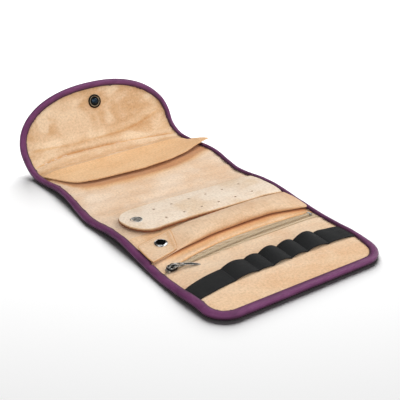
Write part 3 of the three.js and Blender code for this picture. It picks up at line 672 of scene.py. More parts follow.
def front_to_middle_lining():
    """From the zip's far side over the fold to under the earring tab."""
    near_x = np.repeat(ACROSS * (HALF - TUCK), 40, 0)
    edge = FAR_LIP(near_x)
    first = edge + (PAST_FOLD - edge) * np.linspace(0, 1, 40)[:, None]
    x, s = lining_grid(rows_between(PAST_FOLD, SEAM_1)[1:])
    x, s = np.concatenate([near_x, x]), np.concatenate([first, s])
    lip = s - FAR_LIP(x)
    t = lining_height(x, s) + 0.7 * bump_at(lip, 3.0, 2.5) - 0.6 * bump_at(lip, 0, 0.8)
    # Painted shade on the strip under the bar's near edge, fading deeper under the bar, and along the zip's
    # far lip.
    under_bar = BAR_NEAR(x) - s
    shade = 0.42 * (1 - smoothstep(under_bar, 1, 13)) + 0.4 * (1 - smoothstep(under_bar, 0, 3.5))
    shade = shade * smoothstep(x, -80, -55) * (1 - 0.8 * smoothstep(-under_bar, 4, 14))
    shade = np.minimum(shade + 0.35 * bump_at(lip, 0, 0.9) * smoothstep(x, -78, -70), 0.85)
    obj = skin("lining_front_to_middle", x, s, t, LINING_SUEDE, "suede_lining", FOLDED_SUEDE, shade)
    follow(obj, "front fold", "front_lining_strip")


def under_lip(x, s):
    """The painted shadow that the pocket's mouth casts on the lining below it."""
    hidden = MOUTH_PLACE(x) - 8 - s
    return 0.62 * np.exp(-np.clip(hidden, 0, None) / 4.5) * smoothstep(x, -90, -78)


def under_tab(x, s):
    """Where the tab's painted shadow falls: 1 along its near edge, and 0 away from it."""
    return bump_at(s, TAB_CENTRE - TAB_HALF - 1, 1.6) * smoothstep(x, TAB_LEFT + 5, TAB_LEFT + 20)


def middle_to_back_lining():
    x, s = lining_grid(rows_between(SEAM_1, SEAM_2, 2.2))
    # Painted shadow below the pocket's mouth and along the tab's near edge.
    shade = under_lip(x, s) + 0.5 * under_tab(x, s)
    t = lining_height(x, s)
    obj = skin("lining_middle_to_back", x, s, t, MIDDLE_SUEDE, "suede_lining", CLOTH, shade)
    follow(obj, "back fold", "middle_lining", "back_lining")


def pocket_floor():
    """The lining under the slip pocket's lip."""
    x, s = lining_grid(rows_between(SEAM_2, BEND + 4))
    t = lining_height(x, s) - 0.2
    # Painted shade all over, for the lip's shadow.
    obj = skin("lining_pocket_floor", x, s, t, PINK_SUEDE, "suede_lining", CLOTH, 0.62)
    ride(obj, "back_panel")


def flap_puff(x, s):
    """How the pocket's cloth swells at the bend, with a crease and a soft ridge across it."""
    depth = from_edge(x, s)
    swell = PUFF * bump_at(s, CREASE + 1, 15) * smoothstep(depth, 4, 24)
    line = s - FLAP_CREASE(x)
    crease = -1.9 * bump_at(line, 0, 1.8) + 1.0 * bump_at(line, -6, 4)
    ridge = 1.1 * bump_at(s, FLAP_RIDGE(x), 5) - 0.5 * bump_at(s, FLAP_RIDGE(x) + 9, 4)
    seam = -0.5 * bump_at(s, LIP_SEAM, 1.6)
    return swell + (crease + ridge + seam) * smoothstep(depth, 6, 22)


def flap_painted_light(x, s):
    """Painted highlight on each ridge and painted shade in the creases, with a darker line at the lip's seam.
    """
    line = s - FLAP_CREASE(x)
    ridge = s - FLAP_RIDGE(x)
    light = 0.5 * bump_at(line, 5.5, 4) + 0.35 * bump_at(line, -7, 5) + 0.3 * bump_at(ridge, 6, 4)
    painted_crease_shade = 0.5 * bump_at(line, 0, 1.3) + 0.24 * bump_at(ridge, -0.5, 2)
    painted_crease_shade = painted_crease_shade + 0.12 * bump_at(line, -10 + 0.03 * x, 1.5) * (1 - smoothstep(x, -25, 5))
    inside = smoothstep(from_edge(x, s), 4, 14)
    return (painted_crease_shade - light * smoothstep(s, LIP_SEAM, LIP_SEAM + 6)) * inside + 0.14 * bump_at(s, LIP_SEAM, 1.2)


def flap_lining():
    rows = chain([rows_between(CREASE, BEND + 40, 1.3), rows_between(BEND + 40, TIP - TUCK, 2.2)])
    x, s = lining_grid(rows)
    hollow = smoothstep(s, BEND + 20, BEND + 50) * smoothstep(from_edge(x, s), 6, 30)
    t = lining_height(x, s) + flap_puff(x, s) + 0.6 * ripple(x, s, 60, 1.3) * hollow
    obj = skin("lining_flap", x, s, t, FLAP_SUEDE, "suede_lining", CLOTH, flap_painted_light(x, s))
    follow(obj, "flap fold", "flap_lining")


def pocket_lip():
    """The slip pocket's cloth, from the crease at the bend to its open mouth."""
    rows = 26
    part = np.linspace(0, 1, rows)[:, None]
    x = np.repeat(spread(MOUTH_LEFT, MOUTH_RIGHT, 2.4)[None, :], rows, 0)
    s = CREASE + (MOUTH_PLACE(x) - CREASE) * part
    x_used = x * (1 - 0.075 * smoothstep(x, 80, MOUTH_RIGHT) * (1 - part))
    crease = np.full_like(s, CREASE)
    top = lining_height(x_used, crease) + flap_puff(x_used, crease)
    sag = 0.7 * np.sin(np.pi * part) * smoothstep(HALF - np.abs(x_used), 0, 40)
    t = top + (MOUTH_HEIGHT(x) - top) * smoothstep(part, 0, 1) ** 0.8 - sag
    t = t + 0.25 * ripple(x_used, s, 50, 3.0) * part
    obj = skin("pocket_lip_suede", x_used, s, t, LIP_SUEDE, "suede_lining", FOLDED_SUEDE)
    along(CREASE)
    along(CREASE - 10)
    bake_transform(obj)
    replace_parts(obj, "pocket_lip")


# outer cloth and padding

OUTER_HEIGHT, OUTER_CLOTH = 1.5, 0.8
WADDING_HEIGHT, WADDING_THICKNESS, WADDING_WIDTH = 3.3, 1.2, 0.97


def outer_cloth():
    """The purple cloth outside, in three cuts."""
    for name, start, end, fold, nodes in (
        ("front_to_middle", 0, SEAM_1, "front fold", ["front_shell"]),
        ("middle_to_back", SEAM_1, SEAM_2, "back fold", ["middle_shell", "back_shell"]),
        ("flap", SEAM_2, TIP, "flap fold", ["flap_shell"]),
    ):
        x, s = lining_grid(rows_between(max(start, TUCK), min(end, TIP - TUCK), 3))
        height = np.full_like(s, OUTER_HEIGHT)
        obj = skin(f"outer_{name}", x, s, height, OUTER, "outer_fabric", OUTER_CLOTH)
        follow(obj, fold, *nodes)


def padding():
    """Wadding between the outer cloth and the lining."""
    for body, start, end, nodes in (
        ("front_panel", 12, FOLD_1 - 4, ["front_padding", "zip_pocket_bag"]),
        ("middle_panel", FOLD_1 + 10, FOLD_2 - 9, ["middle_padding"]),
        ("back_panel", FOLD_2 + 11, BEND - 3, ["back_padding"]),
        ("flap", BEND + 11, TIP - 12, ["flap_padding"]),
    ):
        x, s = lining_grid(rows_between(start + 1, end - 1, 5))
        height = np.full_like(s, WADDING_HEIGHT)
        obj = skin(f"{body}_wadding", x * WADDING_WIDTH, s, height, WADDING, "foam", WADDING_THICKNESS)
        ride(obj, body, *nodes)


# binding

# The folded tape: half its thickness, the place of its outer fold, its wall, the degrees that it
# wraps on each side, and how square its fold is
BIND_RISE, BIND_FROM, BIND_WALL, BIND_WRAP, BIND_SQUARE = 3.25, -0.15, 0.6, 158, 0.85
# How far its stitches lie from its inner edge
SEAM_INSET = 2.1


def binding_section(width):
    """(depth from the edge, height) round the folded tape: outside, then inside."""
    turn = np.radians(np.linspace(-BIND_WRAP, BIND_WRAP, 22))
    c, s = np.cos(turn), np.sin(turn)
    reach = (np.asarray(width)[:, None] - BIND_FROM) / 2

    def side(shrink):
        depth = BIND_FROM + reach - (reach - shrink) * np.sign(c) * np.abs(c) ** BIND_SQUARE
        height = BIND_RISE + (BIND_RISE - shrink) * np.sign(s) * np.abs(s) ** BIND_SQUARE
        return np.stack([depth, np.broadcast_to(height, depth.shape)], -1)

    return np.concatenate([side(0), side(BIND_WALL)[:, ::-1]], 1)


def straight_path(side, start, end):
    """Points along one side, each with the direction inwards: (x, s, inward x, inward s)."""
    s = spread(start, end, 2.2)
    one = np.ones_like(s)
    return np.stack([side * HALF * one, s, -side * one, 0 * one], -1)


def corner_path():
    """Round the near right corner, from the side to the near edge."""
    turn = np.linspace(0, math.pi / 2, 22)
    c, s = np.cos(turn), np.sin(turn)
    return np.stack([HALF - CORNER + CORNER * c, CORNER - CORNER * s, -c, s], -1)


def arch_path():
    """Round the right half of the flap, from the side to the tip."""
    turn = np.linspace(0, math.pi / 2, 60)
    c, sn = np.cos(turn), np.sin(turn)
    c[-1] = 0.0
    power = 2 / ARCH_FULLNESS
    normal = np.stack([c ** (2 - power) / HALF, sn ** (2 - power) / ARCH_DEPTH], -1)
    normal /= np.linalg.norm(normal, axis=-1, keepdims=True)
    return np.stack([HALF * c**power, ARCH + ARCH_DEPTH * sn**power, -normal[:, 0], -normal[:, 1]], -1)


def mirrored(path):
    """A path from the right side to the middle, and back to the left side."""
    back = path[::-1] * np.array([-1, 1, -1, 1])
    return np.concatenate([path, back[1:] if abs(path[-1, 0]) < 1e-6 else back])


def binding(name, path):
    """The folded tape along a path, and the row of stitches near its inner edge."""
    length = distances(path[:, :2])
    x, s, inward_x, inward_s = (path[:, i : i + 1] for i in range(4))
    width = binding_width(x[:, 0], s[:, 0])
    section = binding_section(width)
    tape_width = float(np.linalg.norm(np.diff(section, axis=1), axis=2).sum(1).mean()) / 2
    width = width[:, None]
    depth, height = section[..., 0], section[..., 1]
    wobble = ripple(x, s, 19, 1.0) + 0.6 * ripple(x, s, 7.3, 0.4)
    nicks = np.clip(np.sin(length * 0.61) * np.sin(length * 0.173 + 1) * np.sin(length * 2.3) - 0.45, 0, 1)
    depth = depth + (0.3 * wobble + 2.2 * nicks[:, None]) * smoothstep(depth, width - 3.5, width)
    seam = bump_at(depth, width - SEAM_INSET, 0.7) * smoothstep(height, 3.5, 5)
    height = height + 0.22 * ripple(x, s, 27, 2.5) * smoothstep(height, 3, 6) - 0.3 * seam
    places = case(x + inward_x * depth, s + inward_s * depth, height)
    # Painted shade where the tape's inner edge tucks in, along its stitch groove and on its underside near
    # the floor.
    shade = 0.85 * smoothstep(depth, width - 2.6, width - 0.8) + 0.25 * seam
    shade = np.maximum(shade, 1 - smoothstep(height, 1.2, 5.4))
    piece = tube(name, places, uv_of(length[:, None], distances(section[0])), shade=shade)
    inset = width - SEAM_INSET
    places, up = surface_line(x + inward_x * inset, s + inward_s * inset, 2 * BIND_RISE - 0.75)
    threads = stitch_row(f"{name}_stitches", places[:, 0], up[:, 0], *BINDING_STITCH)
    return piece, threads, tape_width, length[-1]


def bindings():
    """The tape in three runs: round the near edge, up both sides and round the flap."""
    near = mirrored(np.concatenate([straight_path(1, SEAM_1, CORNER)[:-1], corner_path()]))
    sides = [straight_path(side, SEAM_1, SEAM_2) for side in (-1, 1)]
    far = mirrored(np.concatenate([straight_path(1, SEAM_2, ARCH)[:-1], arch_path()]))
    for run, fold, paths, shells, nodes in (
        ("front_to_middle", "front fold", [near], ["front_shell", "middle_shell"], ["front_binding"]),
        ("middle_to_back", "back fold", sides, ["middle_shell", "back_shell"],
         ["middle_binding_left", "middle_binding_right", "back_binding_left", "back_binding_right"]),
        ("flap", "flap fold", [far], ["flap_shell", "back_shell"], ["flap_binding"]),
    ):
        made = [binding(f"{run}_{i}", path) for i, path in enumerate(paths)]
        pieces, threads, tape_widths, lengths = zip(*made)
        piece = dress(joined(f"binding_{run}", pieces), BINDING)
        rows = dress(joined(f"binding_{run}_stitches", threads), PURPLE_THREAD)
        follow(piece, fold, *nodes)
        follow(rows, fold)


# stitches

# Each kind of stitch: (thread radius, length, gap)
BINDING_STITCH = (0.24, 2.0, 1.0)
BAND_STITCH = (0.35, 1.6, 0.8)
PATCH_STITCH = (0.22, 1.5, 0.9)
PATCH_EDGE_STITCH = (0.2, 1.5, 0.9)
# A stitch from end to end: (share of its length, share of its thickness)
STITCH = [(0.0, 0.25), (0.12, 0.8), (0.5, 1.0), (0.88, 0.8), (1.0, 0.25)]


def stitch_row(name, places, normals, thread, length, gap):
    """Short thread capsules that follow a line of points on a surface."""
    run = distances(places)
    ring = np.radians(np.arange(0, 360, 60))
    verts, faces = [], []

    def at(table, distance):
        return np.array([np.interp(distance, run, table[:, k]) for k in range(3)])

    for i in range(int(run[-1] // (length + gap))):
        start = i * (length + gap) + gap / 2
        a, b = at(places, start), at(places, start + length)
        up = at(normals, start)
        forward = unit(b - a)
        up = unit(up - forward * (up @ forward))
        side = np.cross(forward, up)
        faces += capped_faces(len(STITCH), len(ring), len(verts))
        for part, swell in STITCH:
            centre = a + (b - a) * part + up * thread * (0.55 * math.sin(math.pi * part) - 0.25)
            verts += [centre + thread * swell * (math.cos(r) * side + math.sin(r) * up) for r in ring]
    return make(name, verts, faces)


def surface_line(x, s, t):
    """Points and face directions along a line on the case."""
    slope = underside(s)[2]
    return case(x, s, t), np.stack([0 * slope, -np.sin(slope), np.cos(slope)], -1)


# elastic

# The band's two long edges, where they touch the lining: (x, place along the case)
BAND_NEAR = curve_of([(-90, 33.5), (-70, 36), (-47, 38.8), (-22, 39.6), (-6, 39.0), (14, 39.7), (33, 40.4),
                      (58, 40.2), (90, 38.2)], 6)
BAND_FAR = curve_of([(-90, 53), (-70, 57), (-48, 60), (-22, 61.4), (16, 61.4), (58, 61.4), (75, 60.6),
                     (90, 59.5)], 6)
# Where the band is sewn down, and how high each loop between them stands at its far and near edge
VALLEYS = [-88.0, -47.5, -22.0, -6.0, 14.5, 33.5, 58.0, 88.5]
FAR_LIFTS = [1.0, 3.3, 2.0, 4.2, 3.4, 5.0, 1.2]
NEAR_LIFTS = [0.4, 1.9, 1.1, 2.4, 1.9, 2.3, 1.3]
# The last loop's peak leans to the left
LAST_PEAK = 0.62
BAND_LENGTH, BAND_WIDTH, BAND_THICKNESS, BAND_HEIGHT = 190, 22, 0.9, 1.3


def band_lift(x, v):
    """How far the band stands off the lining: v is -1 at its near edge and 1 at its far edge."""
    lift = np.zeros_like(x)
    far = (1 + v) / 2
    for start, end, near_lift, far_lift in zip(VALLEYS, VALLEYS[1:], NEAR_LIFTS, FAR_LIFTS):
        part = np.clip((x - start) / (end - start), 0, 1)
        if end == VALLEYS[-1]:
            part = part**LAST_PEAK
        lift = lift + (near_lift + (far_lift - near_lift) * far**0.8) * np.sin(np.pi * part) ** 0.85
    return lift + 0.9 * far**2 * smoothstep(x, -30, -15) * (1 - smoothstep(x, 62, 75))


def band_place(x, v):
    """Place along the case of a point on the band."""
    near, far = BAND_NEAR(x), BAND_FAR(x)
    return (near + far) / 2 + v * (far - near) / 2


def elastic_band():
    x = chain([spread(a, b, 1.1) for a, b in zip(VALLEYS, VALLEYS[1:])])
    x, v = np.meshgrid(x, np.linspace(-1, 1, 17))
    s, lift = band_place(x, v), band_lift(x, v)
    curl = 0.35 * lift / 6 * (1 - v**2)
    t = lining_height(x, s) + BAND_HEIGHT + lift - curl + 0.12 * ripple(x, s, 13, 1.0)
    obj = skin("elastic_loops", x, s, t, ELASTIC, "elastic", BAND_THICKNESS)
    ride(obj, "front_panel", "elastic_band")
    rows = []
    v = np.linspace(-0.96, 0.96, 20)
    for valley in VALLEYS[1:-1]:
        x = np.full_like(v, valley)
        s = band_place(x, v)
        line = surface_line(x, s, lining_height(x, s) + BAND_HEIGHT + 0.05 + band_lift(x, v))
        rows.append(stitch_row("band_row", *line, *BAND_STITCH))
    ride(dress(joined("elastic_stitches", rows), BLACK_THREAD), "front_panel")


# zip

TAPE_START, TAPE_THICKNESS, RIB_PITCH = 0.35, 0.5, 1.3
# The coil's teeth: pitch, cord radius and reach, then rise, height over the lining and place off the middle
COIL_PITCH, COIL_CORD, COIL_REACH = 1.25, 0.36, 1.15
COIL_RISE, COIL_HEIGHT, COIL_APART = 0.75, 1.15, 0.6


def zip_tape():
    """The two tapes beside the coil: narrow ribs, and on the far side a soft roll."""
    x, v = np.meshgrid(spread(-HALF + TUCK, HALF - TUCK, 3), np.linspace(TAPE_START, TAPE_REACH, 52))
    for name, side, lip in (("near", -1, NEAR_LIP), ("far", 1, FAR_LIP)):
        s = zip_line(x) + side * v
        inside = side * (lip(x) - s)
        t = LINING - 0.2 + 0.12 * np.cos(v * 2 * np.pi / RIB_PITCH)
        if side > 0:
            t = t + 1.1 * smoothstep(v, 2.6, 4.4) * smoothstep(inside, 0.2, 2.6)
        t = t - 0.9 * (1 - smoothstep(inside, -1.0, 1.2))
        grid = (x[::side], s[::side], t[::side])
        obj = skin(f"zip_{name}_tape", *grid, TAPE, "zip_tape", TAPE_THICKNESS)
        ride(obj, "front_panel", f"zip_tape_{name}")


def rods(name, paths, radius, sides=8):
    """Round wires of one radius along several paths."""
    ring = around_ring(sides)
    verts, faces = [], []
    for path in paths:
        faces += capped_faces(len(path), sides, len(verts))
        side = np.array([0.31, 0.17, 0.93])
        for point, ahead in zip(path, np.gradient(np.asarray(path, float), axis=0)):
            forward = unit(ahead)
            side = unit(side - forward * (side @ forward))
            up = np.cross(forward, side)
            verts += [point + radius * (math.cos(r) * side + math.sin(r) * up) for r in ring]
    return make(name, verts, faces)


def zip_coil():
    """Two interlocked coils: each tooth is a small loop of round cord."""
    start, end = low("zip_coil", X), high("zip_coil", X)
    turn = np.linspace(math.radians(-50), math.radians(230), 9)
    paths = []
    for i in range(int((end - start) / (COIL_PITCH / 2))):
        x = start + (i + 0.5) * COIL_PITCH / 2
        s = zip_line(x) + (COIL_APART if i % 2 else -COIL_APART) + COIL_REACH * np.cos(turn)
        paths.append(case(x, s, LINING + COIL_HEIGHT + COIL_RISE * np.sin(turn)))
    ride(dress(rods("zip_teeth", paths, COIL_CORD, 5), COIL), "front_panel", "zip_coil")


# zip slider and pull

SLIDER = middle("zip_slider")
SLIDER_LENGTH, SLIDER_WIDTH = 11.0, 9.5
PULL_JOINT = next(joint for joint in frame["joints"] if joint["name"] == "zip_pull_swing")
PULL_LENGTH = 26.5
# The slider's outline from its foot up: (height, inset)
SLIDER_LEVELS = [(-0.9, 0.8), (-0.6, 0.25), (-0.1, 0.0), (1.1, 0.0), (1.6, 0.35), (1.75, 1.1)]
# Half the pull's width along it: the eye, a narrow neck, then a slim leaf
PULL_EDGE = curve_of([(-1.2, 2.9), (0, 3.1), (2.5, 3.2), (5, 3.0), (8, 2.4), (11, 1.6), (13, 1.5), (17, 1.8),
                      (21, 1.6), (24.5, 0.9), (PULL_LENGTH, 0.2)], 1)


def moved(points, matrix):
    """Local points in millimetres, placed by a matrix whose shift is in millimetres."""
    turn = np.array(matrix.to_3x3())
    return np.asarray(points, float) @ turn.T + np.array(matrix.translation)


def place_of(pivot, y_axis):
    """A frame at a point in millimetres, with a given Y axis and Z up."""
    y = Vector(y_axis).normalized()
    x = y.cross(Vector((0, 0, 1))).normalized()
    return Matrix.Translation(pivot) @ Matrix((x, y, x.cross(y))).transposed().to_4x4()


def arc(x, y, radius, start, end, height=0.0, count=14):
    turn = np.radians(np.linspace(start, end, count))
    return np.stack([x + radius * np.cos(turn), y + radius * np.sin(turn), np.full(count, height)], -1)


def rounded(turn, power):
    """Sine or cosine values bent towards a rounded rectangle."""
    return np.sign(turn) * np.abs(turn) ** power


def wires(place, *groups):
    """Groups of wires with one radius each: (lines, radius), perhaps with a number of sides."""
    return [rods("wires", [moved(line, place) for line in lines], *size) for lines, *size in groups]


def zip_slider():
    """The slider's body: a rounded shield with a beaded rim, scrolls and the bridge."""
    turn = around_ring(44)
    taper = 1 - 0.16 * (1 + np.cos(turn)) / 2
    rings = []
    for height, inset in SLIDER_LEVELS:
        x = (SLIDER_LENGTH / 2 - 0.6 - inset) * rounded(np.cos(turn), 0.8)
        y = (SLIDER_WIDTH / 2 - inset) * taper * rounded(np.sin(turn), 0.8)
        rings.append(np.stack([x, y, np.full(len(turn), height)], -1))
    y_axis = (-ZIP_SLANT, 1, -math.tan(-panel_slope(SLIDER[Y] - NEAR)))
    place = place_of(Vector((SLIDER[X], SLIDER[Y], SLIDER[Z] - 1.2)), y_axis)
    body = tube("slider_body", moved(np.stack(rings), place), sharp=60)
    rim = rings[4] * np.array([0.93, 0.93, 1]) + np.array([0, 0, 0.1])
    scrolls = [arc(-2.9, side * 1.6, 1.25, 60 * side, 330 * side, 1.8) for side in (-1, 1)]
    scrolls += [arc(2.4, side * 1.9, 1.1, -90 * side, 200 * side, 1.8) for side in (-1, 1)]
    bow = np.linspace(0, math.pi, 15)
    bridge = np.stack([2.1 * np.cos(bow), 0 * bow, 1.4 + 2.6 * np.sin(bow) ** 0.8], -1)
    bridges = [bridge + np.array([0, y, 0]) for y in (-0.55, 0, 0.55)]
    parts = wires(place, ([np.concatenate([rim, rim[:1]])], 0.42), (scrolls, 0.38), (bridges, 0.62))
    ride(dress(body, BLACKENED), "zip_slider", "zip_slider")
    ride(dress(joined("slider_ornament", parts), ANTIQUE), "zip_slider")


def droop(x):
    """How far the pull hangs below its axis at a place along it."""
    return -0.008 * np.clip(x - 4, 0, None) ** 2


def pull_ornament(place):
    """The filigree eye with its scrolls and beads, and the leaf's hem."""
    x = np.linspace(0, 12.5, 20)
    edges = [np.stack([x, side * (PULL_EDGE(x) - 0.35), droop(x)], -1) for side in (-1, 1)]
    edges.append(np.array([[0.0, y, 0.0] for y in np.linspace(-2.8, 2.8, 8)]))
    scrolls = []
    for side in (-1, 1):
        scrolls.append(arc(4.9, side * 1.3, 1.05, 90 * side, 400 * side))
        scrolls.append(arc(7.6, side * 0.85, 0.8, 200 * side, -90 * side))
    scrolls += [arc(9.9, 0.0, 0.65, 0, 360), arc(3.6, 0.0, 0.45, 0, 360, 0.1)]
    for line in scrolls:
        line[:, Z] += droop(line[:, X])
    beads = []
    for bead in np.linspace(1.2, 9.5, 8):
        for side in (-1, 1):
            beads.append(arc(bead, side * (PULL_EDGE(bead) + 0.15), 0.02, 0, 180, droop(bead) + 0.25, 3))
    x = np.linspace(11.0, PULL_LENGTH - 0.8, 24)
    hem = [np.stack([x, side * PULL_EDGE(x) * 0.95, droop(x) + 0.2], -1) for side in (-1, 1)]
    return wires(place, (edges, 0.56), (scrolls, 0.34), (beads, 0.42, 7), (hem, 0.18))


def zip_pull():
    """The pull: a slim leaf with a midrib, and its ornament."""
    place = place_of(Vector(PULL_JOINT["pos_m"]) / MM, PULL_JOINT["axis"])
    x, turn = np.linspace(10.5, PULL_LENGTH, 30)[:, None], around_ring(16)[None, :]
    half = PULL_EDGE(x)
    across = half * np.cos(turn)
    rib = 0.25 * np.exp(-((across / 0.35) ** 2)) * (np.sin(turn) > 0)
    height = droop(x) + 0.42 * np.sin(turn) * (0.35 + 0.65 * half / 1.75) + rib
    rings = np.stack([np.broadcast_to(x, across.shape), across, height], -1)
    leaf = dress(tube("pull_leaf", moved(rings, place), sharp=60), BLACKENED)
    ornament = dress(joined("pull_ornament", pull_ornament(place)), ANTIQUE)
    ride(leaf, "zip_pull", "zip_pull")
    ride(ornament, "zip_pull")


def zip_stops():
    """The metal stops keep their CAD shapes."""
    for name in ("zip_stop_left", "zip_stop_right"):
        for slot in frame["nodes"][name].material_slots:
            slot.material = DULL_NICKEL


# earring tab

TAB_LEFT = low("earring_tab_face", X)
TAB_CENTRE = middle("earring_tab_face")[Y] - NEAR
TAB_HALF = (high("earring_tab_face", Y) - low("earring_tab_face", Y)) / 2
TAB_END = 90.0
# How much less the tab reaches on its near side: (x, millimetres)
TAB_TRIM = curve_of([(-80, 0), (-60, 0.4), (-46, 1.2), (0, 1.8), (30, 1.2), (90, 0)], 5)
# How thick the two layers are, and how high the stud holds them
TAB_BACKING = 0.7
TAB_FACE = 1.2
SEAT = 2.4
HOLE_COLUMNS = [TAB_LEFT + 40.4 + 20 * i for i in range(6)]
HOLE_ROWS = (-12.4, 9.6)
HOLE_RADIUS = 1.35
HOLE_HEIGHT, HOLE_DEPTH = 8.0, 20.0


def tab_outline():
    """x places along the tab with half its width there."""
    turn = np.radians([4, 9, 15, 22, 30, 38, 46, 54, 62, 70, 78, 86])
    round_end = [(TAB_LEFT + TAB_HALF * (1 - math.cos(a)), TAB_HALF * math.sin(a)) for a in turn]
    return np.array(round_end + [(x, TAB_HALF) for x in spread(TAB_LEFT + TAB_HALF, TAB_END, 2.2)])


def tab_lift(x):
    """The tab stands on its stud and goes down into the right seam."""
    on_stud = SEAT + (0.3 - SEAT) * smoothstep(x, TAB_LEFT + 38, 62)
    return on_stud - 2.6 * smoothstep(x, 66, TAB_END)


def tab_layer(name, low_t, thickness, material, slot, grow, fray, edge_colour_and_shade):
    """One layer of the tab, a little larger than its outline, with a frayed edge made darker: its raw edge's
    own colour and painted shade.
    """
    outline = tab_outline()
    across = np.linspace(-1, 1, 31)[None, :]
    x = np.repeat(outline[:, :1], across.size, 1)
    near_side = across < 0
    half = outline[:, 1:] + grow * (1 + 0.9 * near_side) - TAB_TRIM(outline[:, :1]) * near_side
    rim = np.abs(across) ** 6
    noise = fray * (np.sin(x * 2.9) * np.sin(x * 1.13 + 2) + 0.6 * np.sin(x * 5.3 + 1)) * rim
    s = TAB_CENTRE + across * (half + noise)
    x = x - grow * (1 - smoothstep(outline[:, :1], TAB_LEFT, TAB_LEFT + TAB_HALF))
    sag = 0.7 * rim * smoothstep(x, TAB_LEFT + 20, 60)
    t = LINING + 0.1 * ripple(x, s, 46) + tab_lift(x) + low_t + thickness - sag
    t = t + 0.12 * ripple(x, s, 31, 5.0)
    inset = 1 - np.maximum(np.abs(across), 1 - (x - x.min()) / TAB_HALF)
    return skin(name, x, s, t, material, slot, thickness, edge_colour_and_shade * (1 - smoothstep(inset, 0.0, 0.06)))


def punched(obj, places):
    """Cuts the round earring holes through a sheet."""
    bm = bmesh.new()
    for place in places:
        bmesh.ops.create_cone(bm, cap_ends=True, segments=14, radius1=HOLE_RADIUS * MM,
                              radius2=HOLE_RADIUS * MM, depth=HOLE_DEPTH * MM,
                              matrix=Matrix.Translation(Vector(place) * MM))
    mesh = bpy.data.meshes.new("punch")
    bm.to_mesh(mesh)
    bm.free()
    punch = placed("punch", mesh)
    cut = obj.modifiers.new("holes", "BOOLEAN")
    cut.operation, cut.solver, cut.object = "DIFFERENCE", "EXACT", punch
    bpy.context.view_layer.update()
    result = bpy.data.meshes.new_from_object(obj.evaluated_get(bpy.context.evaluated_depsgraph_get()))
    obj.modifiers.clear()
    obj.data = result
    bpy.data.objects.remove(punch)


def earring_tab():
    places = [case(x, TAB_CENTRE + row, HOLE_HEIGHT) for x in HOLE_COLUMNS for row in HOLE_ROWS]
    face = tab_layer("tab_face", TAB_BACKING, TAB_FACE, PALE_SUEDE, "pale_suede", 0.0, 0.12, 0.3)
    backing = tab_layer("tab_backing", 0.0, TAB_BACKING - 0.05, TAB_EDGE, "suede_lining", 0.45, 0.5, 0.8)
    for obj, node in ((face, "earring_tab_face"), (backing, "earring_tab_backing")):
        punched(obj, places)
        ride(obj, "earring_tab", node)


# ring bar

# From left to right: the flat strap, the rise to the roll, and the padded roll
STRAP_LEFT, STRAP_END, PAD_START, BAR_END = -86.0, -54.0, -24.0, 91.0
# The bar's near edge, far edge and height along x
BAR_NEAR = curve_of([(-88, 103), (-70, 106.5), (-55, 110.5), (-30, 113.8), (-15, 116), (4, 116.6),
                     (30, 117.2), (53, 116.6), (72, 111.5), (90, 108)], 6)
BAR_FAR = curve_of([(-88, 129), (-70, 134), (-50, 140), (-30, 146), (60, 146.5), (90, 143)], 8)
BAR_TOP = curve_of([(-88, 1.6), (-56, 1.7), (-46, 3.4), (-36, 6.2), (-24, 7.8), (0, 8.2), (30, 8.2),
                    (54, 7.8), (70, 6.4), (78, 5.0), (84, 3.4), (91, 1.2)], 5)
# The crest's place from the near edge to the far edge, and where the bar's cloth starts and ends round it
BAR_CREST = 0.34
BAR_UV = (100, 60)


def bar_section(x, count=44):
    """Ring of points round the bar at one place: steep near side, long slope under the tab."""
    pad = float(smoothstep(x, -52, -30))
    near, far, top = float(BAR_NEAR(x)), float(BAR_FAR(x)), float(BAR_TOP(x))
    top += 0.35 * pad * float(ripple(x, 130, 41, 1.0))
    c, sn = np.cos(around_ring(count)), np.sin(around_ring(count))
    crest = near + (far - near) * (0.5 + (BAR_CREST - 0.5) * pad)
    on_near = c < 0
    reach = np.where(on_near, crest - near, far - crest)
    across = np.where(on_near, -np.abs(c) ** 0.6, np.abs(c) ** (0.6 + 0.4 * pad))
    wall = np.where(on_near, 0.25, 0.12) * top
    rise = np.abs(sn) ** np.where(on_near, 0.8, 0.8 + 0.7 * pad)
    t = np.where(sn > 0, wall + (top - wall) * rise, wall * (1 - np.abs(sn) ** 0.35))
    t = LINING + 0.3 + 1.0 * (1 - pad) + t
    undercut = 1 - 0.14 * pad * np.where(on_near & (sn < 0), np.abs(sn) ** 0.35, 0)
    return case(x, crest + reach * across * undercut, t)


def ring_bar():
    """The padded roll with its flattened end."""
    xs = chain([spread(STRAP_LEFT, STRAP_END, 2.5), spread(STRAP_END, PAD_START, 1.4),
                spread(PAD_START, BAR_END, 2.5)])
    rings = np.stack([bar_section(x) for x in xs])
    count = rings.shape[1]
    uv = uv_of(xs[:, None], BAR_UV[0] + np.linspace(0, BAR_UV[1], count))
    # Painted shade on the bar's lower near side, away from its flat strap.
    below = bump_at(np.linspace(0, 360, count, endpoint=False), 205, 32) * smoothstep(xs[:, None], -60, -35)
    obj = dress(tube("ring_bar_pad", rings, uv, 70, 0.6 * below), BAR_SUEDE)
    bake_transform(obj)
    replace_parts(obj, "ring_bar_cover", "ring_bar_filling")


# The patch's near and far edges, each from left to right, then its left edge and its slanting right one
PATCH_NEAR, PATCH_FAR = (101.5, 109.5), (132.5, 140.0)
PATCH_LEFT, PATCH_RIGHT = -88.0, (-57.0, -45.5)
PATCH_WIDTH, PATCH_LENGTH, PATCH_THICKNESS, PATCH_HEIGHT = 35, 29, 0.9, SEAT + 1.7
PATCH_ROUND = 0.07
# Rows and columns of the patch's grid that carry its stitches
PATCH_COLUMNS, PATCH_ROWS = (23, 21), (2, 19)


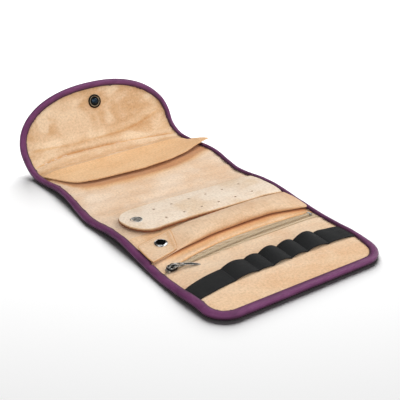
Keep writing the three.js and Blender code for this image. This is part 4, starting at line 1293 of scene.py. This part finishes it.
def strap_patch():
    """The flat square at the bar's end that carries its snap."""
    u, v = np.meshgrid(np.linspace(0, 1, 26), np.linspace(0, 1, 22))
    near, far, right = (start + (end - start) * way
                        for (start, end), way in ((PATCH_NEAR, u), (PATCH_FAR, u), (PATCH_RIGHT, v)))
    corner = PATCH_ROUND * (np.abs(2 * u - 1) * np.abs(2 * v - 1)) ** 4
    x = PATCH_LEFT + (right - PATCH_LEFT) * (0.5 + (u - 0.5) * (1 - corner))
    s = near + (far - near) * (0.5 + (v - 0.5) * (1 - corner))
    rim = np.maximum(np.abs(2 * u - 1), np.abs(2 * v - 1))
    t = LINING + PATCH_HEIGHT + 0.9 * smoothstep(x, -58, -46)
    t = t - 0.25 * smoothstep(rim, 0.88, 1.0) + 0.1 * ripple(x, s, 15)
    # Painted shade along the patch's rim and in a line between its right-hand stitch rows.
    shade = 0.45 * smoothstep(rim, 0.94, 1.0) + 0.2 * bump_at(u, 0.87, 0.03) * (v < 0.93)
    obj = skin("ring_bar_patch", x, s, t, BAR_SUEDE, "suede_lining", PATCH_THICKNESS, shade)
    ride(obj, "ring_bar")
    face = case(x, s, t + 0.1)
    lines = [(face[1:-1, i], PATCH_STITCH) for i in PATCH_COLUMNS]
    lines += [(face[i, 2:-4], PATCH_EDGE_STITCH) for i in PATCH_ROWS]
    rows = []
    for line, stitch in lines:
        rows.append(stitch_row("patch_row", line, np.tile([0.0, 0.0, 1.0], (len(line), 1)), *stitch))
    ride(dress(joined("ring_bar_stitches", rows), TAN_THREAD), "ring_bar")


# press studs

# Half sections as (radius, height)
CAP_DOME = [(0.0, 0.0), (5.6, 0.0), (6.15, 0.25), (6.2, 0.6), (6.0, 0.95), (5.55, 1.12), (5.3, 1.02),
            (5.0, 1.12), (4.2, 1.42), (3.0, 1.62), (1.5, 1.7), (0.02, 1.72)]
CAP_FLAT = [(0.0, 0.0), (5.7, 0.0), (6.15, 0.3), (6.2, 0.7), (6.05, 1.1), (5.7, 1.32), (5.2, 1.36),
            (4.9, 1.2), (4.5, 1.16), (3.0, 1.3), (1.4, 1.36), (0.02, 1.38)]
SOCKET = [(2.3, 0.0), (5.2, 0.0), (5.5, 0.25), (5.5, 0.8), (5.2, 1.1), (4.5, 1.2), (3.9, 1.05), (3.5, 1.15),
          (3.0, 1.2), (2.6, 1.0), (2.3, 0.7), (2.3, 0.0)]
CAP_FACE = [(0.02, 1.2), (4.3, 1.2), (4.45, 1.35), (4.2, 1.55), (0.02, 1.62)]
FLAP_RING = [(0.02, 0.0), (7.22, 0.0), (7.49, 0.3), (7.44, 0.75), (6.99, 1.05), (6.44, 1.05), (6.16, 0.75),
             (5.99, 0.5), (4.77, 0.5), (4.55, 0.85), (4.16, 0.9), (3.89, 0.5), (0.02, 0.4)]
FLAP_BAND = [(5.94, 0.45), (5.88, 0.8), (5.38, 1.0), (4.94, 0.8), (4.88, 0.45), (5.94, 0.45)]
FLAP_DOME = [(0.02, 0.35), (3.66, 0.35), (3.72, 0.7), (3.33, 1.3), (2.44, 1.7), (1.33, 1.9), (0.02, 1.95)]
STUD = [(0.02, 0.0), (5.0, 0.0), (5.0, 0.3), (4.5, 0.5), (1.6, 0.5), (1.7, 0.9), (2.0, 1.2), (1.9, 1.5),
        (1.5, 1.7), (0.02, 1.7)]
FLAP_SNAP = TIP - 22
FLAP_SOCKET_HEIGHT = LINING + 0.35
FACE_RISE = 0.12
# Points nearer the axis than this share one place
AXIS = 0.01


def lathe(name, profile, matrix, segments=48):
    """A turned body: the profile's points are (radius, height) in millimetres."""
    verts = [(radius * math.cos(a), radius * math.sin(a), height) for radius, height in profile
             for a in around_ring(segments)]
    faces = strip_faces(len(profile), segments, wrap=True)
    if profile[0] != profile[-1]:
        for i in (0, len(profile) - 1):
            if profile[i][0] > AXIS:
                faces.append(tuple(range(i * segments, (i + 1) * segments)))
    obj = make(name, moved(verts, matrix), faces, sharp=35)
    bm = bmesh.new()
    bm.from_mesh(obj.data)
    bmesh.ops.remove_doubles(bm, verts=bm.verts, dist=AXIS * MM)
    bmesh.ops.recalc_face_normals(bm, faces=bm.faces)
    bm.to_mesh(obj.data)
    bm.free()
    return obj


def standing(centre, slope, flip=False):
    """A place for a stud: at the centre in millimetres, tilted with its panel."""
    turn = Matrix.Rotation(slope + (math.pi if flip else 0.0), 4, "X")
    return Matrix.Translation(Vector(centre)) @ turn


def on_node(node, profile, slope, flip=False, rise=0.0):
    """A place half a profile's height below its CAD node's centre, or above it if flipped."""
    half = max(height for _, height in profile) / 2
    up = np.array([0, -math.sin(slope), math.cos(slope)])
    return standing(middle(node) + up * (half if flip else rise - half), slope, flip)


def metal(name, profile, material, slot, place, body, *nodes):
    ride(dress(lathe(name, profile, place), material), body, *nodes)


def snaps():
    """Every cap, socket and stud, each on its CAD node's place."""
    tab = panel_slope(TAB_CENTRE)
    bar, closing = (panel_slope(middle(node)[Y] - NEAR) for node in ("ring_bar_cap", "closing_stud"))
    for node, profile, material, body, slope in (
        ("earring_tab_cap", CAP_FLAT, DULL_NICKEL, "earring_tab", tab),
        ("earring_tab_socket", SOCKET, NICKEL, "earring_tab", tab),
        ("earring_tab_stud", STUD, NICKEL, "middle_panel", tab),
        ("ring_bar_cap", CAP_DOME, NICKEL, "ring_bar", bar),
        ("ring_bar_socket", SOCKET, NICKEL, "ring_bar", bar),
        ("ring_bar_stud", STUD, NICKEL, "middle_panel", bar),
        ("closing_stud", STUD, NICKEL, "middle_panel", closing),
    ):
        place = on_node(node, profile, slope, node == "closing_stud")
        metal(f"{node}_metal", profile, material, "nickel", place, body, node)
    # A dark disc on the bar cap's top: painted dark reflection on its polished nickel.
    place = on_node("ring_bar_cap", CAP_DOME, bar, rise=FACE_RISE)
    metal("ring_bar_cap_face", CAP_FACE, NICKEL_DARK_REFLECTION, "nickel", place, "ring_bar")
    x = middle("flap_socket")[X]
    slope = float(underside(FLAP_SNAP)[2])
    place = standing(case(x, FLAP_SNAP, FLAP_SOCKET_HEIGHT), slope)
    metal("flap_socket_ring", FLAP_RING, BLACK_METAL, "gunmetal", place, "flap", "flap_socket")
    metal("flap_socket_band", FLAP_BAND, BRASS, "gunmetal", place, "flap")
    metal("flap_socket_dome", FLAP_DOME, BLUE_METAL, "gunmetal", place, "flap")
    place = standing(case(x, FLAP_SNAP, CLOTH), slope, True)
    metal("flap_cap_metal", CAP_DOME, NICKEL, "nickel", place, "flap", "flap_cap")


# the build


def build():
    for sub_part in (
        front_lining, front_to_middle_lining, middle_to_back_lining, pocket_floor, flap_lining, pocket_lip,
        outer_cloth, padding, bindings, elastic_band, zip_tape, zip_coil, zip_slider, zip_pull, zip_stops,
        earring_tab, ring_bar, strap_patch, snaps,
    ):
        sub_part()


# floor, light and camera

FLOOR = ((-4, -4, 0), (4, -4, 0), (4, 6, 0), (-4, 6, 0))
LIGHT_DISTANCE = 1.7
WORLD_LIGHT = 0.06
# Each light's direction, power and size
FLOOR_LIGHT = ((0.57, 0.76, 0.67), 71, 1.35)
CASE_LIGHTS = {
    "right": ((1, -0.1, 0.4), 8.5, 1.1),
    "right_high": ((0.8, 0.15, 0.8), 11, 1.0),
    "above": ((-0.1, 0, 1), 9.3, 1.2),
    "left_front": ((-0.7, -0.5, 0.6), 12.5, 1.3),
    "front": ((0.25, -0.9, 0.5), 11, 1.3),
}
# The camera as fitted to the photo's edges: degrees, then millimetres
AZIMUTH, ELEVATION, ROLL = -34.931, 27.211, -0.109
AIM = (21.167, 188.34, 0.0)
DISTANCE = 919.66
FOCAL_PIXELS = 926.93
IMAGE_PIXELS = 400
SENSOR = 36


def floor():
    mesh = bpy.data.meshes.new("floor")
    mesh.from_pydata(FLOOR, [], [(0, 1, 2, 3)])
    mesh.materials.append(Nodes("floor_white", (0.95, 0.95, 0.95), 0.9).material)
    placed("floor", mesh)


def area_light(name, toward, power, size, lights_floor):
    """A square softbox that lights either the floor or the case."""
    data = bpy.data.lights.new(name, "AREA")
    data.shape, data.size, data.energy = "SQUARE", size, power
    obj = placed(name, data)
    away = Vector(toward).normalized()
    obj.location = LIGHT_DISTANCE * away
    obj.rotation_euler = (-away).to_track_quat("-Z", "Y").to_euler()
    chosen = bpy.data.collections.new(f"{name}_floor")
    chosen.objects.link(bpy.data.objects["floor"])
    obj.light_linking.receiver_collection = chosen
    chosen.collection_objects[0].light_linking.link_state = "INCLUDE" if lights_floor else "EXCLUDE"


def lights():
    """One softbox throws the floor's shadow; five soft ones light the case from all round."""
    world = bpy.data.worlds.new("studio")
    bpy.context.scene.world = world
    world.use_nodes = True
    background = world.node_tree.nodes["Background"]
    background.inputs["Color"].default_value = (1, 1, 1, 1)
    background.inputs["Strength"].default_value = WORLD_LIGHT
    area_light("floor_softbox", *FLOOR_LIGHT, True)
    for name, light in CASE_LIGHTS.items():
        area_light(f"{name}_softbox", *light, False)


def camera():
    a, e, r = (math.radians(v) for v in (AZIMUTH, ELEVATION, ROLL))
    forward = Vector((-math.sin(a) * math.cos(e), math.cos(a) * math.cos(e), -math.sin(e)))
    right = Vector((math.cos(a), math.sin(a), 0))
    turned_right = right * math.cos(r) + right.cross(forward) * math.sin(r)
    turn = Matrix((turned_right, turned_right.cross(forward), -forward)).transposed().to_4x4()
    aim = Vector((AIM[X], AIM[Y] + NEAR, AIM[Z]))
    data = bpy.data.cameras.new("photo_camera")
    data.sensor_width = SENSOR
    data.lens = SENSOR * FOCAL_PIXELS / IMAGE_PIXELS
    obj = placed("photo_camera", data)
    obj.matrix_world = Matrix.Translation((aim - forward * DISTANCE) * MM) @ turn
    bpy.context.scene.camera = obj


def look():
    bpy.context.scene.view_settings.view_transform = "Standard"
    bpy.context.scene.view_settings.exposure = 0.0


camera()
build()
floor()
lights()
look()
bpy.context.view_layer.update()
